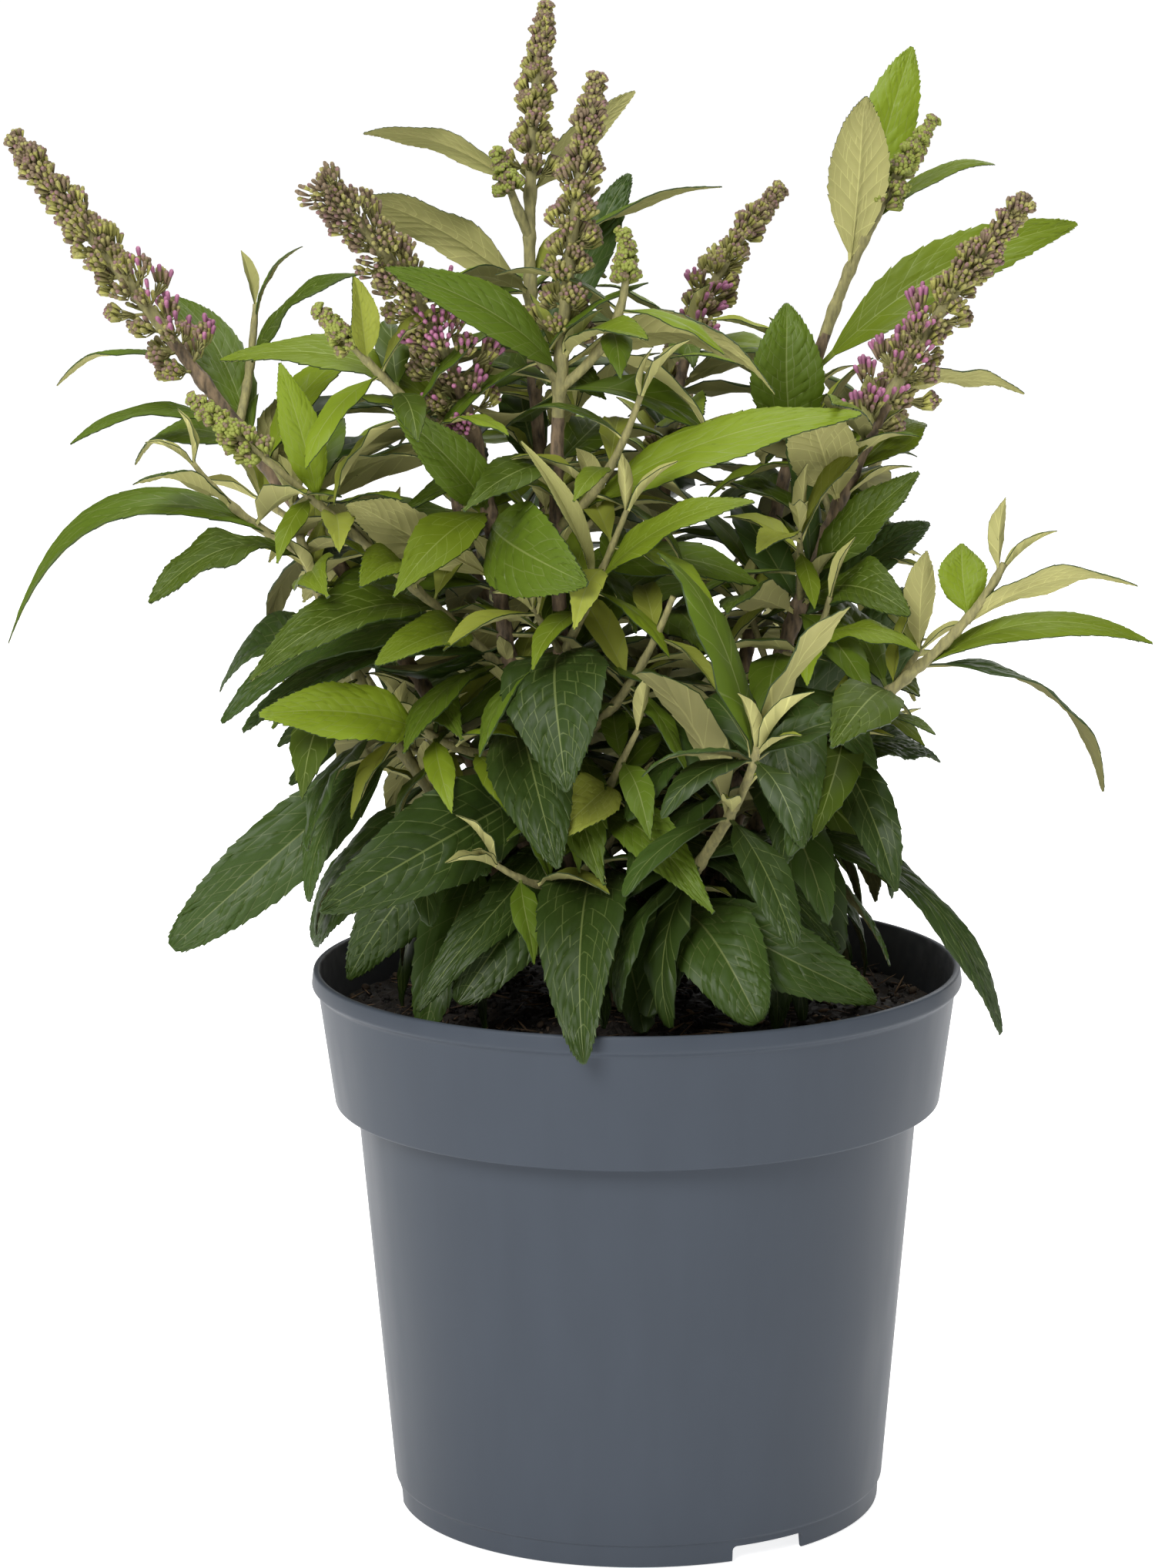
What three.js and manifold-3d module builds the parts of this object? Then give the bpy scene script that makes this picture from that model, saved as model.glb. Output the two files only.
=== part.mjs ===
// A young butterfly bush, Buddleja, in its round nursery pot.
//
// Millimetres, +Z up. The origin is the middle of the pot's flat underside. -Y is the front.
//
// The pot and the soil are turned shapes. The bush has a short woody crown at the soil and one
// stem for each shoot. Where a stem's leaves begin it goes over into that shoot's foliage: a twig
// system with its leaves and its flower spike, which is one closed solid. Leaves stand in crossed
// pairs, by a seeded rule, and one that would touch something else is turned aside or left out.

import * as THREE from "three";
import { mergeVertices } from "three/addons/utils/BufferGeometryUtils.js";
import Module from "manifold-3d";

// ---------------------------------------------------------------- driving dimensions

const SEGMENTS = 44; // round the pot
const CLEAR = 0.3; // gap between solids that touch

const POT = {
  height: 161.7,
  footRadius: 71.6,
  footHeight: 7,
  bodyLow: 72.9, // outer radius of the body just above its foot
  bodyHigh: 82.9, // and where the collar begins
  collarFrom: 121.4,
  collarLow: 89.4,
  collarHigh: 94.0,
  lipRadius: 95.9,
  lipHeight: 6,
  wall: 1.4,
  draft: 0.6, // how far a short moulded wall leans
  step: 0.4, // height of the slope under the collar
  floorFrom: 5, // underside of the raised floor
  bossRadius: 25, // flat disc in the middle, which stands on the ground
  drainRing: 48,
  drainRadius: 4.5,
  drains: 6,
  drainSides: 8,
  notchWidth: 24,
  notchDepth: 9.6,
  notchHeight: 4.6,
  notchTurn: 31.7, // degrees from the front towards the right
  notches: 3,
};

const SOIL = { top: 147.5, mound: 2.5, bump: 0.8, bumpAlong: 9, bumpAcross: 7, gap: 0.6, rings: 3 };
const CROWN = { low: 11.0, high: 9.5, top: 166, sides: 12, gap: 0.4, inTop: 2, inFlank: 10 };
const STEM = { tip: 1.5, leafyTip: 1.2, end: 0.97, sides: 6, leafySides: 5, step: 42, join: 10 };
const TWIG = { thick: 1.7, thin: 0.9, end: 0.97, spike: 5, ruledThick: 1.3, ruledThin: 0.8, sides: 3 };

// One line per shoot. root: compass turn of its foot on the crown, 0 at the right and 90 at the
// back, and whether it rises from the crown's top or from its flank. The stem passes through low
// and high a third and two thirds of the way to its tip. flower is the length of the flower spike
// and girth its radius at the foot. bare is the length of the stem below the first leaves.
const SHOOTS = [
  { name: "front", root: [258, "top"], low: [-20, -17, 247], high: [-21, -24, 338], tip: [-10, -30, 422],
    flower: 78, girth: 9.5, thick: 2.9, bare: 16 },
  { name: "tall", root: [130, "top"], low: [-21, 12, 258], high: [-30, 18, 350], tip: [-25, 25, 442],
    flower: 52, girth: 7.5, thick: 2.8, bare: 18 },
  { name: "mid_left", root: [200, "top"], low: [-36, -11, 250], high: [-46, -22, 322], tip: [-85, -66, 394],
    flower: 84, girth: 12.5, thick: 2.9, bare: 16 },
  { name: "left", root: [176, "flank"], low: [-63, 1, 246], high: [-122, -1, 331], tip: [-176, -10, 404],
    flower: 92, girth: 11, thick: 2.9, bare: 20 },
  { name: "left_low", root: [212, "flank"], low: [-53, -12, 207], high: [-84, -18, 258], tip: [-99, -12, 304],
    flower: 0, girth: 0, thick: 2.5, bare: 18 },
  { name: "right", root: [322, "top"], low: [37, -2, 238], high: [66, 4, 312], tip: [113, -5, 386],
    flower: 76, girth: 12, thick: 2.9, bare: 16 },
  { name: "right_up", root: [22, "top"], low: [31, 14, 244], high: [51, 28, 328], tip: [88, 30, 407],
    flower: 28, girth: 6.5, thick: 2.7, bare: 18 },
  { name: "mid_right", root: [75, "top"], low: [8, 36, 243], high: [12, 53, 320], tip: [45, 72, 385],
    flower: 56, girth: 8.5, thick: 2.5, bare: 18 },
  { name: "right_low", root: [342, "flank"], low: [45, -13, 218], high: [80, -22, 252], tip: [106, -29, 286],
    flower: 0, girth: 0, thick: 2.4, bare: 18 },
  { name: "front_low", root: [284, "flank"], low: [14, -38, 192], high: [26, -58, 216], tip: [34, -72, 240],
    flower: 0, girth: 0, thick: 2.2, bare: 16 },
  { name: "back_left", root: [119, "flank"], low: [-34, 42, 226], high: [-54, 68, 290], tip: [-68, 88, 352],
    flower: 44, girth: 8, thick: 2.6, bare: 18 },
  { name: "back", root: [90, "flank"], low: [4, 50, 214], high: [8, 86, 276], tip: [12, 112, 338],
    flower: 40, girth: 8, thick: 2.6, bare: 18 },
  { name: "back_right", root: [58, "flank"], low: [40, 42, 218], high: [66, 64, 280], tip: [84, 84, 342],
    flower: 42, girth: 8, thick: 2.6, bare: 18 },
  { name: "low_left", root: [148, "flank"], low: [-42, 32, 192], high: [-70, 52, 222], tip: [-90, 64, 252],
    flower: 0, girth: 0, thick: 2.2, bare: 18 },
  { name: "low_right", root: [20, "flank"], low: [40, 27, 194], high: [60, 46, 224], tip: [72, 58, 252],
    flower: 0, girth: 0, thick: 2.3, bare: 18 },
];

// Side twigs that show from outside. from is the height at which one leaves its shoot, by the
// way of its knee to its tip. flower is the length of a young spike at its end.
const TWIGS = [
  { name: "slant", on: "mid_left", from: 249, knee: [-78, -27, 291], tip: [-125, -41, 334], flower: 26 },
  { name: "shelf", on: "mid_left", from: 309, knee: [-66, -38, 334], tip: [-88, -49, 359], flower: 16 },
  { name: "centre", on: "front", from: 257, knee: [-12, -33, 277], tip: [-2, -42, 302], flower: 0 },
  { name: "upper", on: "front", from: 294, knee: [-9, -32, 309], tip: [2, -40, 334], flower: 0 },
  { name: "middle", on: "front", from: 230, knee: [-2, -34, 250], tip: [11, -46, 278], flower: 0 },
  { name: "yellow", on: "front", from: 203, knee: [-9, -36, 218], tip: [1, -47, 240], flower: 0 },
  { name: "skirt", on: "front", from: 191, knee: [-24, -36, 192], tip: [-40, -52, 202], flower: 0 },
  { name: "low", on: "mid_left", from: 225, knee: [-52, -25, 231], tip: [-70, -40, 246], flower: 0 },
  { name: "thin", on: "left_low", from: 286, knee: [-112, -22, 298], tip: [-126, -26, 314], flower: 0 },
  { name: "bud", on: "left", from: 321, knee: [-112, 8, 336], tip: [-110, 12, 356], flower: 0 },
  { name: "side", on: "right", from: 254, knee: [50, -14, 257], tip: [56, -21, 274], flower: 0 },
  { name: "spur", on: "tall", from: 374, knee: [-35, 15, 386], tip: [-40, 12, 400], flower: 13 },
  { name: "nub", on: "front", from: 336, knee: [-29, -29, 346], tip: [-35, -34, 359], flower: 12 },
  { name: "knob", on: "front", from: 334, knee: [-5, -31, 354], tip: [-3, -34, 379], flower: 14 },
];

// The leaves that give the outline. from is the height of the joint on its shoot or twig.
// wide is the blade's greatest width and arch how far it bows up from its chord. face leans its top
// from straight up towards the front, all the way at 1, and below 0 leans its underside there.
const LEAVES = [
  { on: "left_low", from: 287, tip: [-181, -24, 265], wide: 18, arch: 26, face: 0.27 },
  { on: "left_low", from: 283, tip: [-137, -48, 276], wide: 17, arch: 12, face: 0.25 },
  { on: "left_low", from: 229, tip: [-134, -34, 174], wide: 22, arch: 4, face: 0.75 },
  { on: "left_low", from: 229, tip: [-95, -40, 190], wide: 14, arch: 9, face: 0.1 },
  { on: "left_low", from: 204, tip: [-84, -40, 163], wide: 20, arch: 12, face: 0.6 },
  { on: "left", from: 207, tip: [-97, 8, 167], wide: 24, arch: 14, face: 0.4 },
  { on: "left", from: 335, tip: [-170, 10, 334], wide: 9, arch: 8, face: 0.05 },
  { on: "left", from: 318, tip: [-161, -22, 319], wide: 11, arch: 9, face: 0.12 },
  { on: "left", from: 312, tip: [-147, 20, 309], wide: 17, arch: 10, face: 0.3 },
  { on: "left", from: 314, tip: [-137, 36, 356], wide: 17, arch: 8, face: 0.3 },
  { on: "left", from: 306, tip: [-92, 12, 334], wide: 18, arch: 8, face: -0.5 },
  { on: "bud", from: 350, tip: [-97, 10, 373], wide: 7, arch: 3 },
  { on: "bud", from: 338, tip: [-80, -4, 367], wide: 13, arch: 5, face: 0.35 },
  { on: "slant", from: 302, tip: [-99, -44, 343], wide: 12, arch: 4, face: 0.8 },
  { on: "slant", from: 268, tip: [-106, -74, 261], wide: 18, arch: 12, face: 0.35 },
  { on: "slant", from: 262, tip: [-72, -68, 262], wide: 15, arch: 7, face: 0.6 },
  { on: "slant", from: 276, tip: [-76, -62, 284], wide: 16, arch: 7, face: 0.5 },
  { on: "thin", from: 300, tip: [-141, -36, 311], wide: 12, arch: 4, face: 0.2 },
  { on: "mid_left", from: 318, tip: [-118, -36, 342], wide: 15, arch: 14, face: 0.35 },
  { on: "mid_left", from: 294, tip: [-14, -66, 284], wide: 27, arch: 7, face: 0.9 },
  { on: "mid_left", from: 262, tip: [-118, -42, 243], wide: 19, arch: 14, face: 0.12 },
  { on: "mid_left", from: 255, tip: [-113, -30, 238], wide: 17, arch: 13, face: 0.12 },
  { on: "mid_left", from: 240, tip: [-22, -76, 206], wide: 25, arch: 10, face: 0.9 },
  { on: "mid_left", from: 216, tip: [-88, -80, 194], wide: 28, arch: 12, face: 0.85 },
  { on: "mid_left", from: 200, tip: [-62, -64, 165], wide: 16, arch: 12, face: 0.7 },
  { on: "low", from: 236, tip: [-104, -66, 248], wide: 18, arch: 6, face: 0.6 },
  { on: "shelf", from: 344, tip: [-77, -46, 368], wide: 9, arch: 2, face: 0.5 },
  { on: "tall", from: 386, tip: [-77, -4, 405], wide: 9, arch: 9, face: -0.55 },
  { on: "tall", from: 358, tip: [-80, -10, 388], wide: 15, arch: 8, face: -0.6 },
  { on: "tall", from: 386, tip: [1, 46, 415], wide: 11, arch: 5, face: -0.6 },
  { on: "tall", from: 362, tip: [26, 26, 388], wide: 12, arch: 7, face: -0.2 },
  { on: "front", from: 338, tip: [-68, -58, 371], wide: 15, arch: 9, face: 0.6 },
  { on: "front", from: 340, tip: [40, -30, 334], wide: 18, arch: 17, face: -0.5 },
  { on: "front", from: 256, tip: [-19, -82, 228], wide: 31, arch: 14, face: 0.9 },
  { on: "front", from: 192, tip: [-16, -103, 160], wide: 26, arch: 15 },
  { on: "front", from: 204, tip: [58, -70, 177], wide: 20, arch: 11, face: 0.35 },
  { on: "yellow", from: 211, tip: [20, -79, 195], wide: 15, arch: 10, face: 0.6 },
  { on: "upper", from: 298, tip: [64, -34, 328], wide: 16, arch: 9, face: 0.5 },
  { on: "centre", from: 279, tip: [32, -60, 307], wide: 13, arch: 6, face: 0.5 },
  { on: "centre", from: 278, tip: [-30, -60, 322], wide: 6, arch: 4, face: 0.5 },
  { on: "middle", from: 258, tip: [40, -62, 283], wide: 17, arch: 6, face: 0.65 },
  { on: "yellow", from: 222, tip: [-24, -70, 212], wide: 15, arch: 6, face: 0.7 },
  { on: "yellow", from: 224, tip: [26, -80, 221], wide: 15, arch: 7, face: 0.7 },
  { on: "skirt", from: 195, tip: [-60, -72, 187], wide: 14, arch: 5, face: 0.8 },
  { on: "right_up", from: 372, tip: [84, 54, 428], wide: 17, arch: 4, face: 1 },
  { on: "right_up", from: 363, tip: [66, 6, 416], wide: 18, arch: 5, face: -1 },
  { on: "right_up", from: 376, tip: [108, 44, 394], wide: 8, arch: 5, face: 0.2 },
  { on: "right_up", from: 333, tip: [131, 38, 376], wide: 18, arch: 15, face: 0.65 },
  { on: "right", from: 330, tip: [114, 20, 329], wide: 10, arch: 5, face: -0.45 },
  { on: "right", from: 297, tip: [49, -32, 328], wide: 20, arch: 5, face: -1 },
  { on: "right", from: 306, tip: [85, 26, 320], wide: 17, arch: 4, face: 0.5 },
  { on: "right", from: 276, tip: [82, -10, 308], wide: 15, arch: 5, face: 0.6 },
  { on: "right", from: 268, tip: [78, -28, 270], wide: 20, arch: 7, face: 0.35 },
  { on: "right", from: 240, tip: [47, -64, 211], wide: 26, arch: 13, face: 0.9 },
  { on: "right_low", from: 198, tip: [73, -37, 169], wide: 16, arch: 8, face: -0.4 },
  { on: "right", from: 222, tip: [86, 22, 270], wide: 26, arch: 8, face: 0.8 },
  { on: "side", from: 258, tip: [81, -32, 260], wide: 10, arch: 7, face: 0.3 },
  { on: "right_low", from: 264, tip: [141, -48, 281], wide: 11, arch: 8, face: -0.45 },
  { on: "right_low", from: 250, tip: [149, -18, 259], wide: 12, arch: 12, face: 0.24 },
  { on: "right_low", from: 254, tip: [139, 2, 216], wide: 13, arch: 12, face: 0.15 },
  { on: "right_low", from: 268, tip: [94, -14, 288], wide: 14, arch: 3, face: 0.8 },
  { on: "right_low", from: 234, tip: [85, -34, 238], wide: 9, arch: 4, face: 0.2 },
  { on: "right_low", from: 226, tip: [89, -4, 223], wide: 17, arch: 6, face: 0.45 },
  { on: "right_low", from: 216, tip: [74, -2, 214], wide: 16, arch: 5, face: 0.6 },
  { on: "right_low", from: 206, tip: [106, -26, 146], wide: 16, arch: 20, face: 0.2 },
  { on: "front_low", from: 190, tip: [68, -56, 163], wide: 21, arch: 10, face: 0.6 },
  { on: "left_low", from: 250, tip: [-121, -10, 245], wide: 22, arch: 14, face: 0.45 },
  { on: "tall", from: 334, tip: [-1, 30, 391], wide: 14, arch: 8, face: 0.9 },
  { on: "right_up", from: 312, tip: [45, 20, 354], wide: 22, arch: 6, face: 0.9 },
  { on: "right", from: 262, tip: [87, 8, 290], wide: 15, arch: 7, face: 0.5 },
  { on: "mid_left", from: 194, tip: [-51, -72, 163], wide: 24, arch: 12, face: 0.5 },
  { on: "front_low", from: 184, tip: [34, -78, 162], wide: 27, arch: 12, face: 0.3 },
  { on: "mid_left", from: 298, tip: [-67, -48, 331], wide: 15, arch: 6, face: 0.8 },
  { on: "mid_left", from: 278, tip: [-81, -56, 308], wide: 16, arch: 5, face: -0.9 },
];

// The crown's reach for the leaves placed by rule: [height, distance from the middle].
const REACH = {
  middle: [-12, 4],
  top: 384,
  deeper: 1.25, // it reaches this much further to the front and the back
  outline: [
    [150, 86], [180, 94], [215, 100], [260, 100], [310, 102], [335, 92], [355, 64], [372, 34], [384, 10],
  ],
};

const BLADE = {
  thick: 1.1, // at the midrib
  petiole: 1.9, // width of the stalk
  petioleShare: 0.13, // and of a small leaf's stalk, as a share of the blade's
  broadest: 0.42, // how far along the blade is widest
  fold: 0.05, // rise of the edges for each unit of half width
  long: 85, // one longer than this is bent in four lengths and not three
  free: 0.24, // nearer its root than this share, a leaf may meet its own shoot
  margin: 0.35, // kept clear between leaves of two shoots
  room: 1.7, // and between a leaf and the pot or the soil
};

const RULE = {
  seed: 1858,
  steps: 2, // lengths that a blade is bent in
  spacing: 23, // between joints along a shoot
  crowding: 1.25, // joints are closer together at the foot
  longest: 74,
  shortest: 42,
  slender: 0.3, // width over length
  twigChance: 0.3,
  twigLength: [14, 28],
  youngLeaf: [22, 36],
  axil: 3, // a twig stands this far above its leaf
  sizes: [1, 0.8], // shares of the length that are tried
  swings: [0, 17, -17, 34, -34, 50, -50], // degrees tried round the stem
  nudges: [0, 7, -7, 14, -14, 21], // millimetres tried in depth for the outline's leaves
  nudgeTurns: [0, 18, -18], // with degrees of turn
  firstJoint: 5, // millimetres above where the foliage begins
  lastJoint: 4, // and below the spike
  lift: [-10, 24], // degrees up from square to the stem, at its foot and its tip
  sag: [0.5, 0.26], // droop at the foot and the tip
  bow: [0.07, 0.12], // arch for each unit of length, and what droop adds
  turnSpread: 0.5,
  lengthSpread: 0.3,
  liftSpread: 14,
  roll: 70, // degrees over which blades are turned about their length
  twigLift: 46,
  twigSpread: 0.3,
  youngLift: 35,
  youngSag: 0.05,
};

const SPIKE = { sides: 6, whorl: 11, waist: 0.62, point: 0.28, taper: 0.9, swell: [0.88, 1.12] };

const PAINT = {
  pot: { color: "#4d5560", roughness: 0.42 },
  soil: { color: "#211810", roughness: 0.95 },
  bark: { color: "#6d6044", roughness: 0.85 },
  leaf: { color: "#3c6a26", roughness: 0.6 },
};

// ---------------------------------------------------------------- small tools

const wasm = await Module();
wasm.setup();

const UP = new THREE.Vector3(0, 0, 1);
const FRONT = new THREE.Vector3(0, -1, 0);
const V = (p) => new THREE.Vector3(...p);
const rad = THREE.MathUtils.degToRad;
const mix = THREE.MathUtils.lerp;

// Mulberry's 32-bit generator: the same draws everywhere.
function drawer(seed) {
  let state = seed >>> 0;
  return () => {
    state = (state + 0x6d2b79f5) >>> 0;
    let t = state;
    t = Math.imul(t ^ (t >>> 15), t | 1);
    t ^= t + Math.imul(t ^ (t >>> 7), t | 61);
    return ((t ^ (t >>> 14)) >>> 0) / 4294967296;
  };
}

// Height or distance read off a list of [place, value] pairs.
function readOff(pairs, place) {
  for (let i = 1; i < pairs.length; i++) {
    const [a, va] = pairs[i - 1];
    const [b, vb] = pairs[i];
    if (place <= b) return mix(va, vb, Math.max(0, (place - a) / (b - a)));
  }
  return pairs[pairs.length - 1][1];
}

function toSolid(geometry) {
  const bare = geometry.clone();
  bare.deleteAttribute("normal");
  bare.deleteAttribute("uv");
  const merged = mergeVertices(bare, 1e-4);
  return new wasm.Manifold(new wasm.Mesh({
    numProp: 3,
    vertProperties: new Float32Array(merged.attributes.position.array),
    triVerts: new Uint32Array(merged.index.array),
  }));
}

// The largest closed shell of a solid: loose scraps and sealed hollows are dropped.
function toGeometry(solid) {
  const mesh = solid.getMesh();
  const position = mesh.vertProperties;
  const faces = mesh.triVerts;
  const parent = Array.from({ length: position.length / 3 }, (_, i) => i);
  const find = (i) => {
    while (parent[i] !== i) i = parent[i] = parent[parent[i]];
    return i;
  };
  for (let i = 0; i < faces.length; i += 3) {
    parent[find(faces[i])] = find(faces[i + 1]);
    parent[find(faces[i + 1])] = find(faces[i + 2]);
  }
  const shells = new Map();
  const corner = [new THREE.Vector3(), new THREE.Vector3(), new THREE.Vector3()];
  for (let i = 0; i < faces.length; i += 3) {
    const key = find(faces[i]);
    if (!shells.has(key)) shells.set(key, { volume: 0, index: [] });
    const shell = shells.get(key);
    corner.forEach((c, k) => c.fromArray(position, faces[i + k] * 3));
    shell.volume += corner[0].dot(corner[1].clone().cross(corner[2])) / 6;
    shell.index.push(faces[i], faces[i + 1], faces[i + 2]);
  }
  const best = [...shells.values()].sort((a, b) => b.volume - a.volume)[0];
  const geometry = new THREE.BufferGeometry();
  geometry.setAttribute("position", new THREE.BufferAttribute(new Float32Array(position), 3));
  geometry.setIndex(best.index);
  return geometry;
}

function toMesh(name, geometry, paint) {
  const material = new THREE.MeshStandardMaterial({ ...PAINT[paint], metalness: 0, flatShading: true });
  const mesh = new THREE.Mesh(geometry, material);
  mesh.name = name;
  return mesh;
}

const turned = (profile) => {
  const points = profile.map(([r, z]) => new THREE.Vector2(r, z));
  return new THREE.LatheGeometry(points, SEGMENTS).rotateX(Math.PI / 2);
};

// ---------------------------------------------------------------- pot and soil

// Outer radius of the body and of the collar at a height.
const bodyRadius = (z) =>
  mix(POT.bodyLow, POT.bodyHigh, (z - POT.footHeight) / (POT.collarFrom - POT.footHeight));
const collarRadius = (z) =>
  mix(POT.collarLow, POT.collarHigh, (z - POT.collarFrom) / (POT.height - POT.lipHeight - POT.collarFrom));

// Inner radius of the pot's body and collar.
const innerBody = (z) => bodyRadius(z) - POT.wall - POT.draft;
const innerCollar = (z) => collarRadius(z) - POT.wall;

function makePot() {
  const { wall, draft, step, height, footRadius, footHeight, floorFrom, bossRadius, collarFrom } = POT;
  const lipFrom = height - POT.lipHeight;
  const floorTop = floorFrom + wall;
  const outer = [
    [0, 0], [bossRadius, 0], [bossRadius + draft, floorFrom],
    [footRadius - wall - draft, floorFrom], [footRadius - wall, 0], [footRadius, 0],
    [footRadius + step, footHeight - draft], [POT.bodyLow, footHeight],
    [POT.bodyHigh, collarFrom], [POT.collarLow, collarFrom + step],
    [POT.collarHigh, lipFrom], [POT.lipRadius, lipFrom + wall], [POT.lipRadius - draft, height],
  ];
  const inner = [
    [innerCollar(height), height], [innerCollar(collarFrom), collarFrom + wall],
    [innerBody(collarFrom), collarFrom - wall], [innerBody(floorTop), floorTop],
    [bossRadius - wall, floorTop], [bossRadius - wall - draft, wall], [0, wall],
  ];
  let pot = toSolid(turned([...outer, ...inner]));
  for (let i = 0; i < POT.drains; i++) {
    const turn = (i * 2 * Math.PI) / POT.drains;
    const hole = new THREE.CylinderGeometry(POT.drainRadius, POT.drainRadius, 4 * wall, POT.drainSides);
    hole.rotateX(Math.PI / 2);
    hole.translate(POT.drainRing * Math.cos(turn), POT.drainRing * Math.sin(turn), floorFrom + wall / 2);
    pot = pot.subtract(toSolid(hole));
  }
  for (let i = 0; i < POT.notches; i++) {
    const notch = new THREE.BoxGeometry(POT.notchWidth, POT.notchDepth, 2 * POT.notchHeight);
    notch.translate(0, -footRadius, 0);
    notch.rotateZ(rad(POT.notchTurn + (i * 360) / POT.notches));
    pot = pot.subtract(toSolid(notch));
  }
  return toMesh("pot", toGeometry(pot), "pot");
}

const soilHeight = (x, y) => {
  const out = Math.hypot(x, y) / collarRadius(SOIL.top);
  const bump = SOIL.bump * Math.sin(x / SOIL.bumpAlong) * Math.cos(y / SOIL.bumpAcross);
  return SOIL.top + SOIL.mound * (0.5 - out * out) + bump;
};

function makeSoil() {
  const { wall, collarFrom, floorFrom } = POT;
  const { gap, top, rings } = SOIL;
  const floor = floorFrom + wall + gap;
  const rim = innerCollar(top) - gap;
  const profile = [
    [0, floor], [innerBody(floor) - gap, floor],
    [innerBody(collarFrom) - gap, collarFrom - wall],
    [innerCollar(collarFrom) - gap, collarFrom + wall + gap],
  ];
  for (let i = 0; i <= rings; i++) profile.push([rim * (1 - i / rings), top]);
  const geometry = turned(profile);
  const place = geometry.attributes.position;
  for (let i = 0; i < place.count; i++) {
    if (place.getZ(i) < top - 0.01) continue;
    place.setZ(i, soilHeight(place.getX(i), place.getY(i)));
  }
  return toMesh("soil", toGeometry(toSolid(geometry)), "soil");
}

// ---------------------------------------------------------------- paths

// A curve through points that are evenly spread over it, with a frame that doesn't twist.
class Path {
  constructor(points) {
    this.points = points;
    const chord = points[points.length - 1].clone().sub(points[0]);
    const flat = [new THREE.Vector3(1, 0, 0), new THREE.Vector3(0, 1, 0), new THREE.Vector3(0, 0, 1)];
    this.reference = flat.sort((a, b) => Math.abs(chord.dot(a)) - Math.abs(chord.dot(b)))[0];
    this.length = 0;
    for (let i = 0; i < 20; i++) this.length += this.at(i / 20).distanceTo(this.at((i + 1) / 20));
  }

  at(t) {
    const n = this.points.length - 1;
    const out = new THREE.Vector3();
    this.points.forEach((p, i) => {
      let share = 1;
      for (let j = 0; j <= n; j++) if (j !== i) share *= (t * n - j) / (i - j);
      out.addScaledVector(p, share);
    });
    return out;
  }

  frame(t) {
    const step = 0.001;
    const along = this.at(t + step).sub(this.at(t - step)).normalize();
    const side = along.clone().cross(this.reference).normalize();
    return { at: this.at(t), along, side, out: side.clone().cross(along) };
  }

  // Where the curve reaches a height.
  atHeight(z) {
    let low = 0;
    let high = 1;
    for (let i = 0; i < 24; i++) {
      const t = (low + high) / 2;
      if (this.at(t).z < z) low = t;
      else high = t;
    }
    return low;
  }
}

// ---------------------------------------------------------------- limbs, blades and spikes

// A cylinder or cone whose rings are laid along a path: shape(t, angle) gives a ring's point.
function laid(geometry, shape) {
  const place = geometry.attributes.position;
  for (let i = 0; i < place.count; i++) {
    const t = place.getY(i) + 0.5;
    const onAxis = Math.hypot(place.getX(i), place.getZ(i)) < 1e-6;
    const angle = Math.atan2(place.getX(i), place.getZ(i));
    const p = shape(t, angle, onAxis);
    place.setXYZ(i, p.x, p.y, p.z);
  }
  const solid = toSolid(geometry);
  if (solid.volume() > 0) return solid;
  const index = geometry.index.array;
  for (let i = 0; i < index.length; i += 3) [index[i], index[i + 1]] = [index[i + 1], index[i]];
  return toSolid(geometry);
}

const ringPoint = (frame, angle, radius) =>
  frame.at.clone()
    .addScaledVector(frame.side, radius * Math.cos(angle))
    .addScaledVector(frame.out, radius * Math.sin(angle));

function limb(path, from, to, thick, thin, sides, steps) {
  return laid(new THREE.CylinderGeometry(1, 1, 1, sides, steps), (t, angle, onAxis) =>
    ringPoint(path.frame(mix(from, to, t)), angle, onAxis ? 0 : mix(thick, thin, t)));
}

// A flower spike: whorls of buds, as a stack of swellings that shrink to a blunt point.
function spike(path, from, girth, length, draw) {
  const whorls = Math.max(3, Math.round(length / SPIKE.whorl));
  const steps = whorls * 2;
  const ringSwell = () => Array.from({ length: SPIKE.sides }, () => mix(...SPIKE.swell, draw()));
  const swell = Array.from({ length: steps + 1 }, ringSwell);
  return laid(new THREE.CylinderGeometry(1, 1, 1, SPIKE.sides, steps), (t, angle, onAxis) => {
    const ring = Math.round(t * steps);
    const side = (Math.round((angle / (2 * Math.PI)) * SPIKE.sides) + SPIKE.sides) % SPIKE.sides;
    const waist = ring % 2 === 0 ? SPIKE.waist : 1;
    const radius = girth * mix(1, SPIKE.point, t ** SPIKE.taper) * waist * swell[ring][side];
    return ringPoint(path.frame(mix(from, 1, t)), angle, onAxis ? 0 : radius);
  });
}

// Half of a blade's width at t, as a share of its greatest half width.
function bladeShare(t) {
  const a = BLADE.broadest / (1 - BLADE.broadest);
  const peak = BLADE.broadest ** a * (1 - BLADE.broadest);
  return (t ** a * (1 - t)) / peak;
}

function bladeFrame(leaf) {
  const chord = leaf.tip.clone().sub(leaf.root);
  const along = chord.clone().normalize();
  const lean = leaf.face ?? 0;
  const top = UP.clone().multiplyScalar(1 - Math.abs(lean)).addScaledVector(FRONT, lean);
  const rise = top.clone().addScaledVector(along, -top.dot(along));
  if (rise.length() < 0.05) rise.copy(FRONT);
  rise.normalize().applyAxisAngle(along, rad(leaf.turn ?? 0));
  return { chord, rise, side: along.clone().cross(rise).normalize() };
}

const midrib = (leaf, chord, rise, t) =>
  leaf.root.clone().addScaledVector(chord, t).addScaledVector(rise, leaf.arch * 4 * t * (1 - t));

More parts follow.
